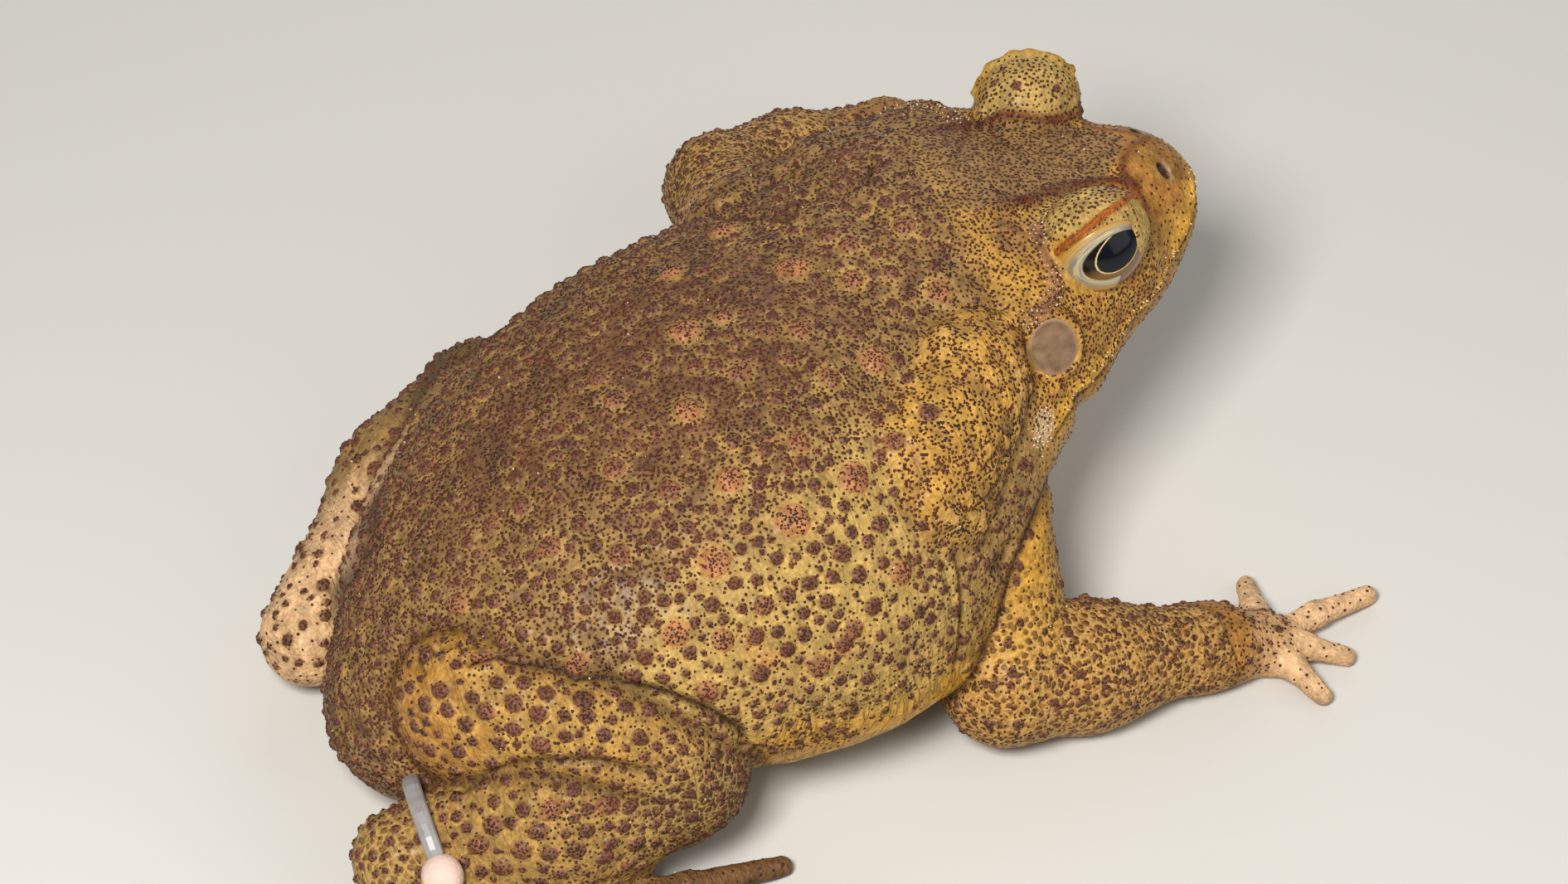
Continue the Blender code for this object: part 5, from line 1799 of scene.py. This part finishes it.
# Eyeballs: a dark wet ball whose pupil nearly fills the opening
def eyeMaterial():
    # living cornea over a near black pupil with a faint blue of painted reflection: wet gloss, thin gold rim
    # of the iris
    material, tree = newMaterial("wet eye")
    place = addNode(tree, "Attribute", {"attribute_name": "eyePlace"}).outputs["Vector"]
    a, b = eyeSizes["pupil"]
    moved = addNode(tree, "VectorMath", {"operation": "SUBTRACT"}, {
        0: place, 1: (*eyeSizes["pupilShift"], 0)})
    turned = addNode(tree, "VectorRotate", {"rotation_type": "Z_AXIS"}, {
        "Vector": moved.outputs[0], "Angle": -math.radians(eyeSizes["pupilTurn"])})
    scaled = addNode(tree, "VectorMath", {"operation": "MULTIPLY"}, {
        0: turned.outputs[0], 1: (1 / a, 1 / b, 0)})
    away = addNode(tree, "VectorMath", {"operation": "LENGTH"}, {0: scaled.outputs[0]})
    fleck = addNode(tree, "TexNoise", inputs={"Vector": place, "Scale": 4.0, "Detail": 3.0})
    wobble = addNode(tree, "Math", {"operation": "MULTIPLY_ADD"}, {
        0: fleck.outputs["Fac"], 1: 0.05, 2: away.outputs["Value"]})
    ramp = addNode(tree, "ValToRGB", inputs={"Fac": wobble.outputs[0]})
    # the pupil's two blue-black tones carry a painted reflection
    stops = ((0.0, "#070a12"), (0.95, "#090d16"), (0.98, "#0a0806"), (1.0, "#c9ae74"))
    band = ramp.color_ramp
    band.elements[0].position = 0.0
    band.elements[0].color = colourOf(stops[0][1])
    band.elements[1].position = 1.0
    band.elements[1].color = colourOf(stops[3][1])
    for position, tone in stops[1:3]:
        element = band.elements.new(position)
        element.color = colourOf(tone)
    outer = addNode(tree, "MapRange", inputs={
        "Value": wobble.outputs[0], "From Min": 1.035, "From Max": 1.06})
    parts = addNode(tree, "SeparateXYZ", inputs={"Vector": place})
    below = addNode(tree, "MapRange", inputs={
        "Value": parts.outputs["Y"], "From Min": -0.6, "From Max": -2.2})
    iris = addNode(tree, "Mix", {"data_type": "RGBA"}, {
        0: below.outputs["Result"], 6: colourOf("#15100e"), 7: colourOf("#74552e")})
    colour = addNode(tree, "Mix", {"data_type": "RGBA"}, {
        0: outer.outputs["Result"], 6: ramp.outputs["Color"], 7: iris.outputs[2]})
    shader = addNode(tree, "BsdfPrincipled", inputs={
        "Base Color": colour.outputs[2], "Roughness": 0.22, "IOR": 1.38, "Specular IOR Level": 0.2,
        "Coat Weight": 0.45, "Coat Roughness": 0.02, "Coat IOR": 1.38})
    addNode(tree, "OutputMaterial", inputs={"Surface": shader.outputs[0]})
    return material


def makeEye(side, name, material):
    axes = eyeAxes(side)
    centre = eyeCentre(side)
    shape = bmesh.new()
    around, upwards = eyeSizes["segments"]
    bmesh.ops.create_uvsphere(shape, u_segments=around, v_segments=upwards, radius=eyeSizes["radius"])
    mesh = meshOf(shape, "eyeball_" + name)
    local = pointsOf(mesh)
    layOn(mesh, "eyePlace", "FLOAT_VECTOR", local)
    setPoints(mesh, (local @ axes.T + centre) * mm)
    if np.linalg.det(axes) < 0:
        mesh.flip_normals()
    mesh.shade_smooth()
    mesh.materials.append(material)
    return newObject("eyeball_" + name, mesh)


# The bare pale margin of the lids: a band that lies on the ball round the opening
marginSizes = {
    "inner": (4.2, 2.8),
    "outer": (5.9, 4.3),
    "innerShift": (-0.45, -0.65),
    "outerShift": (-1.3, -0.4),
    "rings": 8,
    "segments": 96,
    "lift": 0.28,
    "flare": 0.35,
    "dive": 1.2,
    "thickness": 0.35,
}


def marginMaterial():
    # bare moist lid skin: cream and blue-grey streaks along the band, slate at its front corner, wet sheen
    material, tree = newMaterial("moist lid margin")
    around = addNode(tree, "Attribute", {"attribute_name": "bandPlace"}).outputs["Vector"]
    parts = addNode(tree, "SeparateXYZ", inputs={"Vector": around})
    stretched = addNode(tree, "VectorMath", {"operation": "MULTIPLY"}, {0: around, 1: (1.3, 9.0, 1.3)})
    streaks = addNode(tree, "TexNoise", inputs={
        "Vector": stretched.outputs[0], "Scale": 1.0, "Detail": 3.0, "Roughness": 0.6})
    share = addNode(tree, "MapRange", inputs={
        "Value": streaks.outputs["Fac"], "From Min": 0.42, "From Max": 0.56})
    tint = addNode(tree, "Mix", {"data_type": "RGBA"}, {
        0: share.outputs["Result"], 6: colourOf("#666f74"), 7: colourOf("#b3a276")})
    below = addNode(tree, "MapRange", inputs={
        "Value": parts.outputs["Z"], "From Min": 0.1, "From Max": -0.5, "To Max": 0.75})
    tint = addNode(tree, "Mix", {"data_type": "RGBA"}, {
        0: below.outputs["Result"], 6: tint.outputs[2], 7: colourOf("#8f8566")})
    front = addNode(tree, "MapRange", inputs={
        "Value": parts.outputs["X"], "From Min": 0.45, "From Max": 0.85})
    slate = addNode(tree, "Mix", {"data_type": "RGBA"}, {
        0: front.outputs["Result"], 6: tint.outputs[2], 7: colourOf("#3a424c")})
    edge = addNode(tree, "MapRange", inputs={
        "Value": parts.outputs["Y"], "From Min": 0.35, "From Max": 0.85})
    colour = addNode(tree, "Mix", {"data_type": "RGBA"}, {
        0: edge.outputs["Result"], 6: slate.outputs[2], 7: colourOf("#a87f36")})
    shader = addNode(tree, "BsdfPrincipled", inputs={
        "Base Color": colour.outputs[2], "Roughness": 0.35, "Coat Weight": 0.4, "Coat Roughness": 0.12})
    addNode(tree, "OutputMaterial", inputs={"Surface": shader.outputs[0]})
    return material


def makeMargin(side, name, material):
    sizes = marginSizes
    axes = eyeAxes(side)
    centre = eyeCentre(side)
    shape = bmesh.new()
    bmesh.ops.create_grid(shape, x_segments=sizes["segments"], y_segments=sizes["rings"], size=0.5)
    places = []
    for vert in shape.verts:
        angle = (vert.co.x + 0.5) * math.tau
        share = vert.co.y + 0.5
        places.append((math.cos(angle), share, math.sin(angle)))
        half = [a + (b - a) * share for a, b in zip(sizes["inner"], sizes["outer"])]
        shift = [a + (b - a) * share for a, b in zip(sizes["innerShift"], sizes["outerShift"])]
        along = half[0] * math.cos(angle) + shift[0]
        above = half[1] * math.sin(angle) + shift[1]
        radius = eyeSizes["radius"] + sizes["lift"] * min(1, share * 5) + share * sizes["flare"]
        turn = math.radians(eyeSizes["frontFoldTurn"])
        beyond = along * math.cos(turn) + above * math.sin(turn) - eyeSizes["frontFold"]
        radius -= sizes["dive"] * float(smooth(-1.4, -0.2, beyond))  # under the fold of skin at the front
        out = math.sqrt(max(radius**2 - along**2 - above**2, 0.5))
        vert.co = Vector(axes @ np.array((along, above, out)) + centre)
    mesh = meshOf(shape, "lid_margin_" + name)
    layOn(mesh, "bandPlace", "FLOAT_VECTOR", places)
    shape = bmesh.new()
    shape.from_mesh(mesh)
    bmesh.ops.remove_doubles(shape, verts=shape.verts, dist=0.002)
    faceOutwards(shape, Vector(axes[:, 2]))
    shape.to_mesh(mesh)
    shape.free()
    setPoints(mesh, pointsOf(mesh) * mm)
    mesh.shade_smooth()
    mesh.materials.append(material)
    made = newObject("lid_margin_" + name, mesh)
    thick = made.modifiers.new("thickness", "SOLIDIFY")
    thick.thickness = sizes["thickness"] * mm
    thick.offset = -1.0
    applyModifiers(made)
    made.data.shade_smooth()
    return made


def drumMaterial():
    # thin smooth skin over a hollow: grey-brown, faintly veined, satin
    material, tree = newMaterial("ear drum skin")
    place = addNode(tree, "TexCoord").outputs["Object"]
    away = addNode(tree, "Attribute", {"attribute_name": "away"}).outputs["Fac"]
    clouds = addNode(tree, "TexNoise", inputs={"Vector": place, "Scale": 1000 / 1.6, "Detail": 5.0})
    share = addNode(tree, "MapRange", inputs={
        "Value": clouds.outputs["Fac"], "From Min": 0.35, "From Max": 0.65})
    tint = addNode(tree, "Mix", {"data_type": "RGBA"}, {
        0: share.outputs["Result"], 6: colourOf("#664b34"), 7: colourOf("#84694c")})
    edge = addNode(tree, "MapRange", inputs={"Value": away, "From Min": 0.82, "From Max": 0.98})
    colour = addNode(tree, "Mix", {"data_type": "RGBA"}, {
        0: edge.outputs["Result"], 6: tint.outputs[2], 7: colourOf("#997b56")})
    bump = addNode(tree, "Bump", inputs={
        "Height": clouds.outputs["Fac"], "Distance": 0.0001, "Strength": 0.6})
    shader = addNode(tree, "BsdfPrincipled", inputs={
        "Base Color": colour.outputs[2], "Roughness": 0.45, "Normal": bump.outputs["Normal"]})
    addNode(tree, "OutputMaterial", inputs={"Surface": shader.outputs[0]})
    return material


def makeDrum(side, name, material):
    centre, axes = drumFrame(side)
    radius = drumSizes["radius"] + drumSizes["overlap"]
    profile = [(radius * r, z) for r, z in drumSizes["profile"]]
    shape = spunShape(profile, drumSizes["segments"], 0.001)
    faceOutwards(shape, Vector((0, 0, 1)))
    mesh = meshOf(shape, "ear_drum_" + name)
    local = pointsOf(mesh)
    layOn(mesh, "away", "FLOAT", np.hypot(local[:, 0], local[:, 1]) / radius)
    local[:, 1] *= drumSizes["tall"]
    setPoints(mesh, (local @ axes.T + centre) * mm)
    mesh.shade_smooth()
    mesh.materials.append(material)
    return newObject("ear_drum_" + name, mesh)


def tagTubeMaterial():
    # soft clear silicone tube gone cloudy: grey, half see-through, satin
    return cloudedMaterial("cloudy silicone tube", 2.0, 3.0, ("#77706c", "#a09b98"), {
        "Roughness": 0.35, "IOR": 1.41, "Subsurface Weight": 0.3, "Subsurface Radius": (0.001, 0.001, 0.001),
        "Subsurface Scale": 1.0})


def beadMaterial():
    # glossy polished bead: pinkish white
    return cloudedMaterial("polished acrylic bead", 3.0, 2.0, ("#cfae9c", "#ddc2b2"), {
        "Roughness": 0.12, "IOR": 1.49, "Coat Weight": 0.6, "Coat Roughness": 0.04})


# Plain soft light: where each lamp stands, in mm right, up and ahead of the toad, its size in m, power in W
lamps = {
    "key light": {"place": (-110, 80, -580), "size": 0.16, "power": 4.6},
    "fill light": {"place": (420, 60, -330), "size": 0.5, "power": 0.8},
    "back light": {"place": (60, 420, 120), "size": 0.4, "power": 0.6},
}
studio = {"tone": "#e9ecef", "strength": 0.21}


def makeLights():
    world = bpy.data.worlds.new("studio")
    world.use_nodes = True
    background = world.node_tree.nodes["Background"]
    background.inputs["Color"].default_value = colourOf(studio["tone"])
    background.inputs["Strength"].default_value = studio["strength"]
    bpy.context.scene.world = world
    right, up, ahead = cameraAxes()
    target = Vector(camera["target"])
    for name, sizes in lamps.items():
        across, above, beyond = sizes["place"]
        place = right * across + up * above + ahead * beyond
        lamp = bpy.data.lights.new(name, "AREA")
        lamp.size = sizes["size"]
        lamp.energy = sizes["power"]
        item = bpy.data.objects.new(name, lamp)
        item.location = (target + Vector(place)) * mm
        item.rotation_euler = (-Vector(place)).to_track_quat("-Z", "Y").to_euler()
        bpy.context.scene.collection.objects.link(item)


def makeFloor():
    shape = bmesh.new()
    bmesh.ops.create_grid(shape, x_segments=1, y_segments=1, size=1.5)
    bmesh.ops.translate(shape, verts=shape.verts, vec=(0, 0, -0.0002))
    mesh = meshOf(shape, "floor")
    material, tree = newMaterial("matte paper floor")
    shader = addNode(tree, "BsdfPrincipled", inputs={
        "Base Color": colourOf("#c6c2ba"), "Roughness": 0.9})
    addNode(tree, "OutputMaterial", inputs={"Surface": shader.outputs[0]})
    mesh.materials.append(material)
    floor = newObject("floor", mesh)


def main():
    bpy.context.scene.view_settings.view_transform = "Standard"
    makeCamera()
    makeLights()
    makeFloor()
    skin, warts, pores, tones = makeSkin()
    unwrapped = flatSkinPlaces(skin)
    domes = makeWarts(skin, warts, tones, unwrapped)
    coat = domes + dressWithTips(skin, domes, warts, pores, unwrapped)
    setPoints(skin.data, pointsOf(skin.data) * mm)
    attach(skin, "root")
    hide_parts(*[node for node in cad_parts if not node.startswith(("eye", "tympanum", "tag"))])
    for item in coat:
        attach(item, "root")
    eyeSkin, marginSkin, drumSkin = eyeMaterial(), marginMaterial(), drumMaterial()
    for side, name in ((1, "left"), (-1, "right")):
        eye = makeEye(side, name, eyeSkin)
        margin = makeMargin(side, name, marginSkin)
        drum = makeDrum(side, name, drumSkin)
        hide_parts("eye_" + name)
        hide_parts("tympanum_" + name)
        for item, slot in ((eye, "eye"), (margin, "skin_head"), (drum, "drum")):
            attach(item, "root")
    print("head dressed")
    for name, material in (("tag_tube", tagTubeMaterial()), ("tag_bead", beadMaterial())):
        bpy.data.objects[name].material_slots[0].material = material


main()
